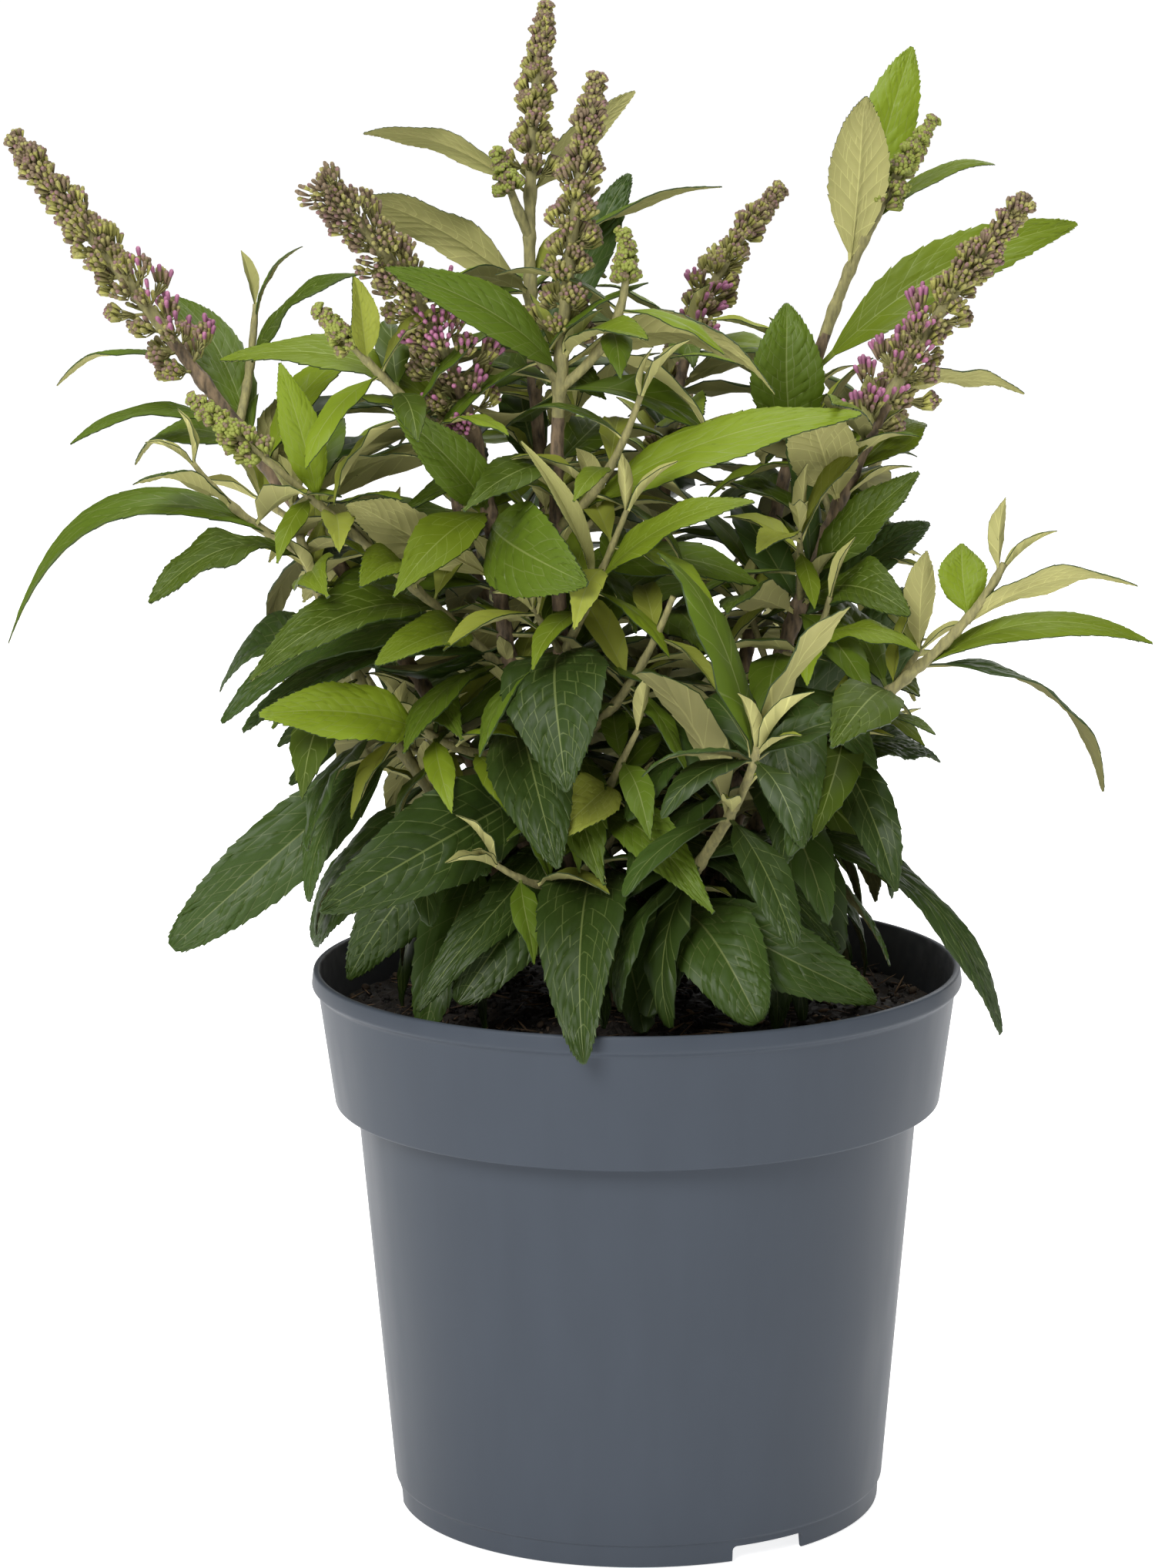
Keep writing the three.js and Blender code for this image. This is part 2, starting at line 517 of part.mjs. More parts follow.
// Where an edge of a blade's section lies across it and up: a keel and two margins, or, for a
// blade with room round it, the four corners of a box.
function sectionPoint(edge, half, extra) {
  const low = -BLADE.thick / 2 - extra;
  const high = BLADE.thick / 2 + extra + BLADE.fold * half;
  if (extra) return [edge === 0 || edge === -1 ? -half : half, edge === 0 || edge === 1 ? low : high];
  return edge === 0 ? [0, low] : [half * edge, high];
}

// One leaf: a three-edged blade from its root to its tip, bowed up, with its keel underneath.
// It can start part of the way out, and have extra room all round.
function blade(leaf, steps, from = 0, extra = 0) {
  const { chord, rise, side } = bladeFrame(leaf);
  const edges = extra ? 4 : 3;
  return laid(new THREE.ConeGeometry(1, 1, edges, steps), (u, angle, onAxis) => {
    const t = mix(from, 1, u);
    const p = midrib(leaf, chord, rise, t);
    if (u > 0.999) return p.addScaledVector(chord, extra / chord.length());
    if (onAxis) return p;
    const stalk = Math.min(BLADE.petiole, leaf.wide * BLADE.petioleShare) / 2;
    const half = Math.max((leaf.wide / 2) * bladeShare(t), stalk) + extra;
    const [across, up] = sectionPoint(Math.round((angle * edges) / (2 * Math.PI)), half, extra);
    return p.addScaledVector(side, across).addScaledVector(rise, up);
  });
}

// ---------------------------------------------------------------- what is already there

// Each solid of a shoot, with its box, and slim, the part of it that the shoot's own leaves avoid.
const placed = [];

const apart = (a, b) => [0, 1, 2].some((k) => a.min[k] > b.max[k] || b.min[k] > a.max[k]);

const remember = (owner, solid, slim = solid) =>
  placed.push({ owner, solid, slim, box: solid.boundingBox() });

const touches = (a, b) => !a.intersect(b).isEmpty();

// Whether points keep off the pot and the soil.
function clearOfPot(points) {
  return points.every((p) => {
    const out = Math.hypot(p.x, p.y);
    if (p.z > POT.height + BLADE.room || out > POT.lipRadius + BLADE.room) return true;
    return out < innerCollar(SOIL.top) - BLADE.room && p.z > soilHeight(p.x, p.y) + BLADE.room;
  });
}

const BLADE_SAMPLES = 12;

function bladePoints(leaf) {
  const { chord, rise, side } = bladeFrame(leaf);
  const points = [];
  for (let i = 2; i <= BLADE_SAMPLES; i++) {
    const t = i / BLADE_SAMPLES;
    for (const s of [-1, 0, 1]) {
      points.push(midrib(leaf, chord, rise, t).addScaledVector(side, (s * leaf.wide * bladeShare(t)) / 2));
    }
  }
  return points;
}

const withinReach = (points) => points.every((p) => {
  const out = Math.hypot(p.x - REACH.middle[0], (p.y - REACH.middle[1]) / REACH.deeper);
  return out < readOff(REACH.outline, p.z) && p.z < REACH.top;
});

// A solid is free when, made thicker, it clears every other shoot, and its slim part clears its own.
function isFree(owner, thicker, slim) {
  const box = thicker.boundingBox();
  return placed.every((item) => {
    if (apart(item.box, box)) return true;
    return item.owner === owner ? !touches(item.slim, slim) : !touches(item.solid, thicker);
  });
}

// Puts a leaf in place at the first of its variants that is free.
function tryLeaf(owner, variants, steps, bounded) {
  for (const leaf of variants) {
    const points = bladePoints(leaf);
    if (!clearOfPot(points)) continue;
    if (bounded && !withinReach(points)) continue;
    const slim = blade(leaf, steps, BLADE.free);
    if (!isFree(owner, blade(leaf, steps, 0, BLADE.margin), slim)) continue;
    grow(owner, blade(leaf, steps), slim);
    return;
  }
}

// ---------------------------------------------------------------- shoots

function footOf(shoot) {
  const [turn, place] = shoot.root;
  const onTop = place === "top";
  const out = onTop ? CROWN.high - shoot.thick - CROWN.gap : CROWN.high - CROWN.gap;
  const z = CROWN.top - (onTop ? CROWN.inTop : CROWN.inFlank);
  return new THREE.Vector3(out * Math.cos(rad(turn)), out * Math.sin(rad(turn)), z);
}

function crownSolid(extra = 0) {
  const low = soilHeight(0, 0) + CROWN.gap;
  const height = CROWN.top - low + 2 * extra;
  const geometry = new THREE.CylinderGeometry(CROWN.high + extra, CROWN.low + extra, height, CROWN.sides, 1);
  geometry.rotateX(Math.PI / 2);
  geometry.translate(0, 0, (CROWN.top + low) / 2);
  return toSolid(geometry);
}

const stemRadius = (shoot, t) => mix(shoot.thick, shoot.flower ? STEM.tip : STEM.leafyTip, t);

// Each shoot's path, and the shares of it where the foliage and the flower spike begin.
const shootPaths = new Map();
for (const shoot of SHOOTS) {
  const path = new Path([footOf(shoot), V(shoot.low), V(shoot.high), V(shoot.tip)]);
  path.leafFrom = (shoot.bare + STEM.join) / path.length;
  path.spikeFrom = 1 - shoot.flower / path.length;
  shootPaths.set(shoot.name, path);
}

// ---- stems, from the crown to where the leaves begin

const crownClear = crownSolid(CROWN.gap);
const stems = SHOOTS.map((shoot) => {
  const path = shootPaths.get(shoot.name);
  const end = path.leafFrom - CLEAR / path.length;
  const name = `stem_${shoot.name}`;
  const whole = limb(path, 0, end, shoot.thick, stemRadius(shoot, end), STEM.sides, 2);
  const solid = whole.subtract(crownClear);
  remember(name, solid);
  return { name, solid };
});

// ---- foliage: stem, spike, twigs, leaves

const pieces = new Map(SHOOTS.map((shoot) => [shoot.name, []]));
const axes = new Map(); // every stem and twig that an outline leaf can stand on

function grow(owner, solid, slim) {
  pieces.get(owner).push(solid);
  remember(owner, solid, slim);
}

SHOOTS.forEach((shoot, index) => {
  const draw = drawer(RULE.seed + 101 * index);
  const path = shootPaths.get(shoot.name);
  const { leafFrom, spikeFrom } = path;
  const steps = Math.max(3, Math.round(path.length / STEM.step));
  const radii = [stemRadius(shoot, leafFrom), stemRadius(shoot, 1)];
  grow(shoot.name, limb(path, leafFrom, STEM.end, ...radii, STEM.leafySides, steps));
  if (shoot.flower) grow(shoot.name, spike(path, spikeFrom, shoot.girth, shoot.flower, draw));
  axes.set(shoot.name, { owner: shoot.name, path });
});

TWIGS.forEach((twig, index) => {
  const draw = drawer(RULE.seed + 5000 + 37 * index);
  const shoot = shootPaths.get(twig.on);
  const root = shoot.at(shoot.atHeight(twig.from));
  const path = new Path([root, V(twig.knee), V(twig.tip)]);
  grow(twig.on, limb(path, 0, TWIG.end, TWIG.thick, TWIG.thin, TWIG.sides, 2));
  if (twig.flower) grow(twig.on, spike(path, 1 - twig.flower / path.length, TWIG.spike, twig.flower, draw));
  axes.set(twig.name, { owner: twig.on, path });
});

for (const { on, from, tip, wide, arch, face } of LEAVES) {
  const { owner, path } = axes.get(on);
  const root = path.at(path.atHeight(from));
  const variants = RULE.nudges.flatMap((nudge) => RULE.nudgeTurns.map((turn) =>
    ({ root, tip: V(tip).add(new THREE.Vector3(0, nudge, 0)), wide, arch, turn, face })));
  const steps = V(tip).distanceTo(root) + 2 * arch > BLADE.long ? 4 : 3;
  tryLeaf(owner, variants, steps, false);
}

// A direction out of a stem: turn is measured round it and lift up from its square plane.
function outOf(frame, turn, lift) {
  return frame.side.clone().multiplyScalar(Math.cos(turn)).addScaledVector(frame.out, Math.sin(turn))
    .multiplyScalar(Math.cos(lift)).addScaledVector(frame.along, Math.sin(lift));
}

function ruledLeaf(owner, frame, turn, lift, fullLength, sag, roll) {
  const variants = RULE.sizes.flatMap((size) => RULE.swings.map((swing) => {
    const length = fullLength * size;
    const way = outOf(frame, turn + rad(swing), lift);
    way.z -= sag;
    return {
      root: frame.at.clone(),
      tip: frame.at.clone().addScaledVector(way.normalize(), length),
      wide: length * RULE.slender,
      arch: length * (RULE.bow[0] + RULE.bow[1] * sag),
      turn: roll,
    };
  }));
  tryLeaf(owner, variants, RULE.steps, true);
}

function ruledTwig(owner, frame, turn, length, young, turns) {
  const { ruledThick: thick, ruledThin: thin, sides } = TWIG;
  const way = outOf(frame, turn, rad(RULE.twigLift));
  const root = frame.at.clone().addScaledVector(frame.along, RULE.axil);
  const tip = root.clone().addScaledVector(way, length);
  const path = new Path([root, root.clone().lerp(tip, 0.5), tip]);
  const thicker = limb(path, 0, 1, thick + BLADE.margin, thin + BLADE.margin, sides, 1);
  const slim = limb(path, BLADE.free, 1, thick, thin, sides, 1);
  if (!withinReach([tip]) || !clearOfPot([tip]) || !isFree(owner, thicker, slim)) return;
  grow(owner, limb(path, 0, 1, thick, thin, sides, 1));
  const end = path.frame(0.9);
  for (const side of [0, Math.PI]) {
    ruledLeaf(owner, end, turns + side, rad(RULE.youngLift), young, RULE.youngSag, 0);
  }
}

// The joints of every shoot, from the crown up, so that neighbours share the room between them.
const growth = SHOOTS.map((shoot, index) => {
  const draw = drawer(RULE.seed + 9000 + 211 * index);
  const path = shootPaths.get(shoot.name);
  const first = path.leafFrom + RULE.firstJoint / path.length;
  const last = (shoot.flower ? path.spikeFrom : STEM.end) - RULE.lastJoint / path.length;
  const joints = Math.max(2, Math.round(((last - first) * path.length) / RULE.spacing));
  return { owner: shoot.name, draw, path, first, last, joints, start: draw() * Math.PI };
});

function growJoint({ owner, draw, path, first, last, joints, start }, k) {
  const share = k / joints;
  const frame = path.frame(mix(first, last, share ** RULE.crowding));
  for (const side of [0, 1]) {
    const turn = start + (k * Math.PI) / 2 + side * Math.PI + (draw() - 0.5) * RULE.turnSpread;
    const length = mix(RULE.longest, RULE.shortest, share) * (1 + (draw() - 0.5) * RULE.lengthSpread);
    const lift = rad(mix(...RULE.lift, share) + (draw() - 0.5) * RULE.liftSpread);
    const roll = (draw() - 0.5) * RULE.roll;
    ruledLeaf(owner, frame, turn, lift, length, mix(...RULE.sag, share), roll);
    const hasTwig = draw() < RULE.twigChance;
    const twigLength = mix(...RULE.twigLength, draw());
    const young = mix(...RULE.youngLeaf, draw());
    const turns = draw() * Math.PI;
    const twigTurn = turn + (draw() - 0.5) * RULE.twigSpread;
    if (hasTwig) ruledTwig(owner, frame, twigTurn, twigLength, young, turns);
  }
}

const mostJoints = Math.max(...growth.map((one) => one.joints));
for (let k = 0; k <= mostJoints; k++) {
  for (const one of growth) if (k <= one.joints) growJoint(one, k);
}

// ---------------------------------------------------------------- the object

const group = new THREE.Group();
group.add(makePot());
group.add(makeSoil());
group.add(toMesh("crown", toGeometry(crownSolid()), "bark"));
for (const { name, solid } of stems) group.add(toMesh(name, toGeometry(solid), "bark"));
for (const shoot of SHOOTS) {
  const solid = wasm.Manifold.union(pieces.get(shoot.name));
  group.add(toMesh(`foliage_${shoot.name}`, toGeometry(solid), "leaf"));
}
export default group;
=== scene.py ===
"""A young butterfly bush in its round nursery pot, dressed around its fixed frame.

The plant is worked out in millimetres, +Z up, with the origin in the middle of the pot's underside and -Y
as the front. Meshes are made in metres. Shoots, twigs and leaves follow the same seeded rule as the solids
of the frame, which is then carried on to finer leaves, buds and bark.
"""

import math

import bpy
import numpy as np
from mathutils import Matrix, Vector
from mathutils.bvhtree import BVHTree
from mathutils.kdtree import KDTree


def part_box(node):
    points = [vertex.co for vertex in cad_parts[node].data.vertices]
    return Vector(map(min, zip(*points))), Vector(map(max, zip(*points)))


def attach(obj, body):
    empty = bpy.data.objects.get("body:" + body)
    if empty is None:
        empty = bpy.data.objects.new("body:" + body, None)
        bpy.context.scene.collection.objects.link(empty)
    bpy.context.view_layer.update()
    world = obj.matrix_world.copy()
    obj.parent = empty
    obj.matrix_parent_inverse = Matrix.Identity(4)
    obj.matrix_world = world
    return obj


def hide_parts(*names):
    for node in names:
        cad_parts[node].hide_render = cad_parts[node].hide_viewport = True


bl_info = {
    "name": "Butterfly bush in a pot",
    "version": (1, 0, 0),
    "blender": (4, 5, 0),
    "location": "View3D > Sidebar > Bush",
    "description": "Builds a young butterfly bush with its nursery pot",
    "category": "Add Mesh",
}

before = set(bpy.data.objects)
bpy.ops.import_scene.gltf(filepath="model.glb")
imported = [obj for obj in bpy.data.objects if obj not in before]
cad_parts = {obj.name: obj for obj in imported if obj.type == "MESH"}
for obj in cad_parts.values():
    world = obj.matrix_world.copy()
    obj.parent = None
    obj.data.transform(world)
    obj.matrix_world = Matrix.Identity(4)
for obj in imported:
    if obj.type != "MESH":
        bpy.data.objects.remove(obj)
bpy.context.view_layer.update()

MM = 0.001
UP = np.array([0.0, 0.0, 1.0])
FRONT = np.array([0.0, -1.0, 0.0])

# ---------------------------------------------------------------- sizes shared with the frame, in mm

POT = {
    "height": 161.7, "foot_radius": 71.6, "foot_height": 7.0, "body_low": 72.9, "body_high": 82.9,
    "collar_from": 121.4, "collar_low": 89.4, "collar_high": 94.0, "lip_radius": 95.9,
    "lip_height": 6.0, "wall": 1.4, "draft": 0.6, "step": 0.4, "floor_from": 5.0, "boss_radius": 25.0,
    "drain_ring": 48.0, "drain_radius": 4.5, "drains": 6, "notch_width": 24.0, "notch_depth": 9.6,
    "notch_height": 4.6, "notch_turn": 31.7, "notches": 3,
}

SOIL = {"top": 147.5, "mound": 2.5, "bump": 0.8, "bump_along": 9, "bump_across": 7, "gap": 0.6}
CROWN = {"low": 11.0, "high": 9.5, "top": 166, "gap": 0.4, "in_top": 2, "in_flank": 10}
STEM = {"tip": 1.5, "leafy_tip": 1.2, "end": 0.97, "join": 10}
TWIG = {"thick": 1.7, "thin": 0.9, "spike": 5, "ruled_thick": 1.3, "ruled_thin": 0.8}

# A line for each shoot: name, turn and place of its foot, two points on its way, its tip, the length
# and radius of its flower spike, and the radius and length of its bare foot.
SHOOTS = [
    ("front", (258, "top"), (-20, -17, 247), (-21, -24, 338), (-10, -30, 422), 78, 9.5, 2.9, 16),
    ("tall", (130, "top"), (-21, 12, 258), (-30, 18, 350), (-25, 25, 442), 52, 7.5, 2.8, 18),
    ("mid_left", (200, "top"), (-36, -11, 250), (-46, -22, 322), (-85, -66, 394), 84, 12.5, 2.9, 16),
    ("left", (176, "flank"), (-63, 1, 246), (-122, -1, 331), (-176, -10, 404), 92, 11, 2.9, 20),
    ("left_low", (212, "flank"), (-53, -12, 207), (-84, -18, 258), (-99, -12, 304), 0, 0, 2.5, 18),
    ("right", (322, "top"), (37, -2, 238), (66, 4, 312), (113, -5, 386), 76, 12, 2.9, 16),
    ("right_up", (22, "top"), (31, 14, 244), (51, 28, 328), (88, 30, 407), 28, 6.5, 2.7, 18),
    ("mid_right", (75, "top"), (8, 36, 243), (12, 53, 320), (45, 72, 385), 56, 8.5, 2.5, 18),
    ("right_low", (342, "flank"), (45, -13, 218), (80, -22, 252), (106, -29, 286), 0, 0, 2.4, 18),
    ("front_low", (284, "flank"), (14, -38, 192), (26, -58, 216), (34, -72, 240), 0, 0, 2.2, 16),
    ("back_left", (119, "flank"), (-34, 42, 226), (-54, 68, 290), (-68, 88, 352), 44, 8, 2.6, 18),
    ("back", (90, "flank"), (4, 50, 214), (8, 86, 276), (12, 112, 338), 40, 8, 2.6, 18),
    ("back_right", (58, "flank"), (40, 42, 218), (66, 64, 280), (84, 84, 342), 42, 8, 2.6, 18),
    ("low_left", (148, "flank"), (-42, 32, 192), (-70, 52, 222), (-90, 64, 252), 0, 0, 2.2, 18),
    ("low_right", (20, "flank"), (40, 27, 194), (60, 46, 224), (72, 58, 252), 0, 0, 2.3, 18),
]

# Side twigs: name, shoot, height at which one leaves it, knee, tip, and length of a young spike.
TWIGS = [
    ("slant", "mid_left", 249, (-78, -27, 291), (-125, -41, 334), 26),
    ("shelf", "mid_left", 309, (-66, -38, 334), (-88, -49, 359), 16),
    ("centre", "front", 257, (-12, -33, 277), (-2, -42, 302), 0),
    ("upper", "front", 294, (-9, -32, 309), (2, -40, 334), 0),
    ("middle", "front", 230, (-2, -34, 250), (11, -46, 278), 0),
    ("yellow", "front", 203, (-9, -36, 218), (1, -47, 240), 0),
    ("skirt", "front", 191, (-24, -36, 192), (-40, -52, 202), 0),
    ("low", "mid_left", 225, (-52, -25, 231), (-70, -40, 246), 0),
    ("thin", "left_low", 286, (-112, -22, 298), (-126, -26, 314), 0),
    ("bud", "left", 321, (-112, 8, 336), (-110, 12, 356), 0),
    ("side", "right", 254, (50, -14, 257), (56, -21, 274), 0),
    ("spur", "tall", 374, (-35, 15, 386), (-40, 12, 400), 13),
    ("nub", "front", 336, (-29, -29, 346), (-35, -34, 359), 12),
    ("knob", "front", 334, (-5, -31, 354), (-3, -34, 379), 14),
]

# Leaves of the outline: shoot or twig, height of the joint, tip, greatest width, arch, how far the
# top leans from straight up towards the front (below 0 the underside does), and age.
LEAVES = [
    ("left_low", 287, (-181, -24, 265), 18, 26, 0.27, "grown"),
    ("left_low", 283, (-137, -48, 276), 17, 12, 0.25, "grown"),
    ("left_low", 229, (-134, -34, 174), 22, 4, 0.75, "old"),
    ("left_low", 229, (-95, -40, 190), 14, 9, 0.1, "old"),
    ("left_low", 204, (-84, -40, 163), 20, 12, 0.6, "old"),
    ("left", 207, (-97, 8, 167), 24, 14, 0.4, "old"),
    ("left", 335, (-170, 10, 334), 9, 8, 0.05, "grown"),
    ("left", 318, (-161, -22, 319), 11, 9, 0.12, "grown"),
    ("left", 312, (-147, 20, 309), 17, 10, 0.3, "grown"),
    ("left", 314, (-137, 36, 356), 17, 8, 0.3, "grown"),
    ("left", 306, (-92, 12, 334), 18, 8, -0.5, "grown"),
    ("bud", 350, (-97, 10, 373), 7, 3, 0, "grown"),
    ("bud", 338, (-80, -4, 367), 13, 5, 0.35, "grown"),
    ("slant", 302, (-99, -44, 343), 12, 4, 0.8, "bright"),
    ("slant", 268, (-106, -74, 261), 18, 12, 0.35, "grown"),
    ("slant", 262, (-72, -68, 262), 15, 7, 0.6, "bright"),
    ("slant", 276, (-76, -62, 284), 16, 7, 0.5, "bright"),
    ("thin", 300, (-141, -36, 311), 12, 4, 0.2, "grown"),
    ("mid_left", 318, (-118, -36, 342), 15, 14, 0.35, "bright"),
    ("mid_left", 294, (-14, -66, 284), 27, 7, 0.9, "grown"),
    ("mid_left", 262, (-118, -42, 243), 19, 14, 0.12, "old"),
    ("mid_left", 255, (-113, -30, 238), 17, 13, 0.12, "old"),
    ("mid_left", 240, (-22, -76, 206), 25, 10, 0.9, "old"),
    ("mid_left", 216, (-88, -80, 194), 28, 12, 0.85, "old"),
    ("mid_left", 200, (-62, -64, 165), 16, 12, 0.7, "old"),
    ("low", 236, (-104, -66, 248), 18, 6, 0.6, "bright"),
    ("shelf", 344, (-77, -46, 368), 9, 2, 0.5, "young"),
    ("tall", 386, (-77, -4, 405), 9, 9, -0.55, "grown"),
    ("tall", 358, (-80, -10, 388), 15, 8, -0.6, "grown"),
    ("tall", 386, (1, 46, 415), 11, 5, -0.6, "grown"),
    ("tall", 362, (26, 26, 388), 12, 7, -0.2, "grown"),
    ("front", 338, (-68, -58, 371), 15, 9, 0.6, "grown"),
    ("front", 340, (40, -30, 334), 18, 17, -0.5, "grown"),
    ("front", 256, (-19, -82, 228), 31, 14, 0.9, "old"),
    ("front", 192, (-16, -103, 160), 26, 15, 0, "old"),
    ("front", 204, (58, -70, 177), 20, 11, 0.35, "old"),
    ("yellow", 211, (20, -79, 195), 15, 10, 0.6, "grown"),
    ("upper", 298, (64, -34, 328), 16, 9, 0.5, "bright"),
    ("centre", 279, (32, -60, 307), 13, 6, 0.5, "bright"),
    ("centre", 278, (-30, -60, 322), 6, 4, 0.5, "tip"),
    ("middle", 258, (40, -62, 283), 17, 6, 0.65, "grown"),
    ("yellow", 222, (-24, -70, 212), 15, 6, 0.7, "young"),
    ("yellow", 224, (26, -80, 221), 15, 7, 0.7, "grown"),
    ("skirt", 195, (-60, -72, 187), 14, 5, 0.8, "young"),
    ("right_up", 372, (84, 54, 428), 17, 4, 1, "bright"),
    ("right_up", 363, (66, 6, 416), 18, 5, -1, "bright"),
    ("right_up", 376, (108, 44, 394), 8, 5, 0.2, "bright"),
    ("right_up", 333, (131, 38, 376), 18, 15, 0.65, "bright"),
    ("right", 330, (114, 20, 329), 10, 5, -0.45, "grown"),
    ("right", 297, (49, -32, 328), 20, 5, -1, "grown"),
    ("right", 306, (85, 26, 320), 17, 4, 0.5, "bright"),
    ("right", 276, (82, -10, 308), 15, 5, 0.6, "grown"),
    ("right", 268, (78, -28, 270), 20, 7, 0.35, "grown"),
    ("right", 240, (47, -64, 211), 26, 13, 0.9, "old"),
    ("right_low", 198, (73, -37, 169), 16, 8, -0.4, "old"),
    ("right", 222, (86, 22, 270), 26, 8, 0.8, "old"),
    ("side", 258, (81, -32, 260), 10, 7, 0.3, "bright"),
    ("right_low", 264, (141, -48, 281), 11, 8, -0.45, "bright"),
    ("right_low", 250, (149, -18, 259), 12, 12, 0.24, "bright"),
    ("right_low", 254, (139, 2, 216), 13, 12, 0.15, "old"),
    ("right_low", 268, (94, -14, 288), 14, 3, 0.8, "bright"),
    ("right_low", 234, (85, -34, 238), 9, 4, 0.2, "grown"),
    ("right_low", 226, (89, -4, 223), 17, 6, 0.45, "old"),
    ("right_low", 216, (74, -2, 214), 16, 5, 0.6, "old"),
    ("right_low", 206, (106, -26, 146), 16, 20, 0.2, "old"),
    ("front_low", 190, (68, -56, 163), 21, 10, 0.6, "old"),
    ("left_low", 250, (-121, -10, 245), 22, 14, 0.45, "old"),
    ("tall", 334, (-1, 30, 391), 14, 8, 0.9, "old"),
    ("right_up", 312, (45, 20, 354), 22, 6, 0.9, "grown"),
    ("right", 262, (87, 8, 290), 15, 7, 0.5, "old"),
    ("mid_left", 194, (-51, -72, 163), 24, 12, 0.5, "old"),
    ("front_low", 184, (34, -78, 162), 27, 12, 0.3, "old"),
    ("mid_left", 298, (-67, -48, 331), 15, 6, 0.8, "grown"),
    ("mid_left", 278, (-81, -56, 308), 16, 5, -0.9, "grown"),
]

REACH_MIDDLE = (-12, 4)
REACH_TOP = 384
REACH_DEEPER = 1.25
REACH = [(150, 86), (180, 94), (215, 100), (260, 100), (310, 102), (335, 92), (355, 64), (372, 34), (384, 10)]

BLADE = {
    "thick": 1.1, "petiole": 1.9, "petiole_share": 0.13, "broadest": 0.42, "fold": 0.05, "long": 85,
    "free": 0.24, "room": 1.7,
}

RULE = {
    "seed": 1858, "spacing": 23, "crowding": 1.25, "longest": 74, "shortest": 42, "slender": 0.3,
    "twig_chance": 0.3, "twig_length": (14, 28), "young_leaf": (22, 36), "axil": 3, "sizes": (1, 0.8),
    "swings": (0, 17, -17, 34, -34, 50, -50), "nudges": (0, 7, -7, 14, -14, 21),
    "nudge_turns": (0, 18, -18), "first_joint": 5, "last_joint": 4, "lift": (-10, 24),
    "sag": (0.5, 0.26), "bow": (0.07, 0.12), "turn_spread": 0.5, "length_spread": 0.3,
    "lift_spread": 14, "roll": 70, "twig_lift": 46, "twig_spread": 0.3, "young_lift": 35,
    "young_sag": 0.05,
}

# Heights above which a shoot keeps its front open, so that its spike and stem show.
OPEN_FRONT = {"front": 262, "tall": 290, "right": 270, "left": 262, "mid_left": 286, "right_up": 270}
SHADED_BELOW = 320  # the leaves that face away from the front are dark below this height
INNER_BELOW = 330  # leaves close the inside of the bush below this height
OLD_BELOW = 232
GROWN_UNTIL = 0.78  # share of a shoot from which its leaves are bright
AGE_STRAY = (14, 0.14)  # how far these two limits stray, in mm and as a share
TURNED_ABOVE = 240  # above this height some leaves show their underside
TURNED = 150  # how far such a leaf is rolled, in degrees

# The least size of a leaf, as a share of what its place gives, and what a draw adds to it: in a young
# pair, and at a joint.
PAIR_SIZE = (0.8, 0.4)
JOINT_SIZE = (0.75, 0.4)

# The folded pairs that end a stem: where they stand on a shoot and on a twig and how long they are, the
# lift and size of each pair, and their width.
TUFT = {
    "shoot_at": 0.96, "shoot_long": 25, "twig_at": 0.97, "twig_long": 19,
    "pairs": ((66, 1.0), (80, 0.7)), "slender": 0.22,
}

# Pairs along a twig: how far apart, over which part of it, their length from foot to tip, their lift
# and sag, how far they roll, and the shares of them that are young and bright.
ALONG_TWIG = {
    "spacing": 15, "part": (0.3, 0.86), "long": (38, 27), "lift": 14, "sag": 0.3, "roll": 30,
    "young": 0.25, "bright": 0.6,
}

# More leaves from the joints: how many to a joint, their length, lift and sag from foot to tip, how far
# they roll, and the chance that one is turned over.
AT_JOINT = {
    "leaves": 4, "long": (64, 40), "lift": (-8, 14), "sag": (0.5, 0.3), "roll": 50, "turned": 0.2,
}

# Leaves that close the inside: how many to a joint, their length, the least lift and what a draw adds
# to it, sag, roll and width, the share of old ones, and how far towards the front they may stand.
INSIDE = {
    "leaves": 6, "long": 58, "lift": (30, 34), "sag": 0.12, "roll": 60, "slender": 0.31, "old": 0.65,
    "backward": -0.15,
}

# Small pairs above some joints: the share of joints without one, how far above the joint they stand,
# their least length and what a draw adds to it, and their lift.
AXIL = {"none": 0.6, "above": 2.5, "long": (14, 12), "lift": 50}

# ---------------------------------------------------------------- what a user would change


def length_prop(label, about, value):
    """A length property, in metres."""
    return bpy.props.FloatProperty(
        name=label, description=about, default=value, subtype="DISTANCE", unit="LENGTH")


def colour_prop(label, about, value):
    """A colour property, in the linear values that shaders use."""
    return bpy.props.FloatVectorProperty(
        name=label, description=about, default=value, subtype="COLOR", size=3)


class BushLooks(bpy.types.PropertyGroup):
    """Sizes of the fine detail, in metres or as plain numbers."""

    tooth: length_prop("Leaf tooth", "How far a tooth stands out of a leaf's margin", 0.0007)
    relief: length_prop("Leaf relief", "How far a leaf bulges between its veins", 0.00026)
    blade: length_prop("Leaf thickness", "Thickness of a blade", 0.0004)
    pucker: length_prop("Leaf pucker", "How far a leaf puckers between its finest veins", 0.0003)
    bud: length_prop("Bud length", "Length of a flower bud", 0.0038)
    bark: length_prop("Bark relief", "Depth of the ridges in the bark", 0.0005)
    crumbs: bpy.props.IntProperty(
        name="Soil crumbs", description="Number of loose crumbs on the soil", default=1500)
    fibres: bpy.props.IntProperty(
        name="Soil fibres", description="Number of fibres and chips on the soil", default=420)


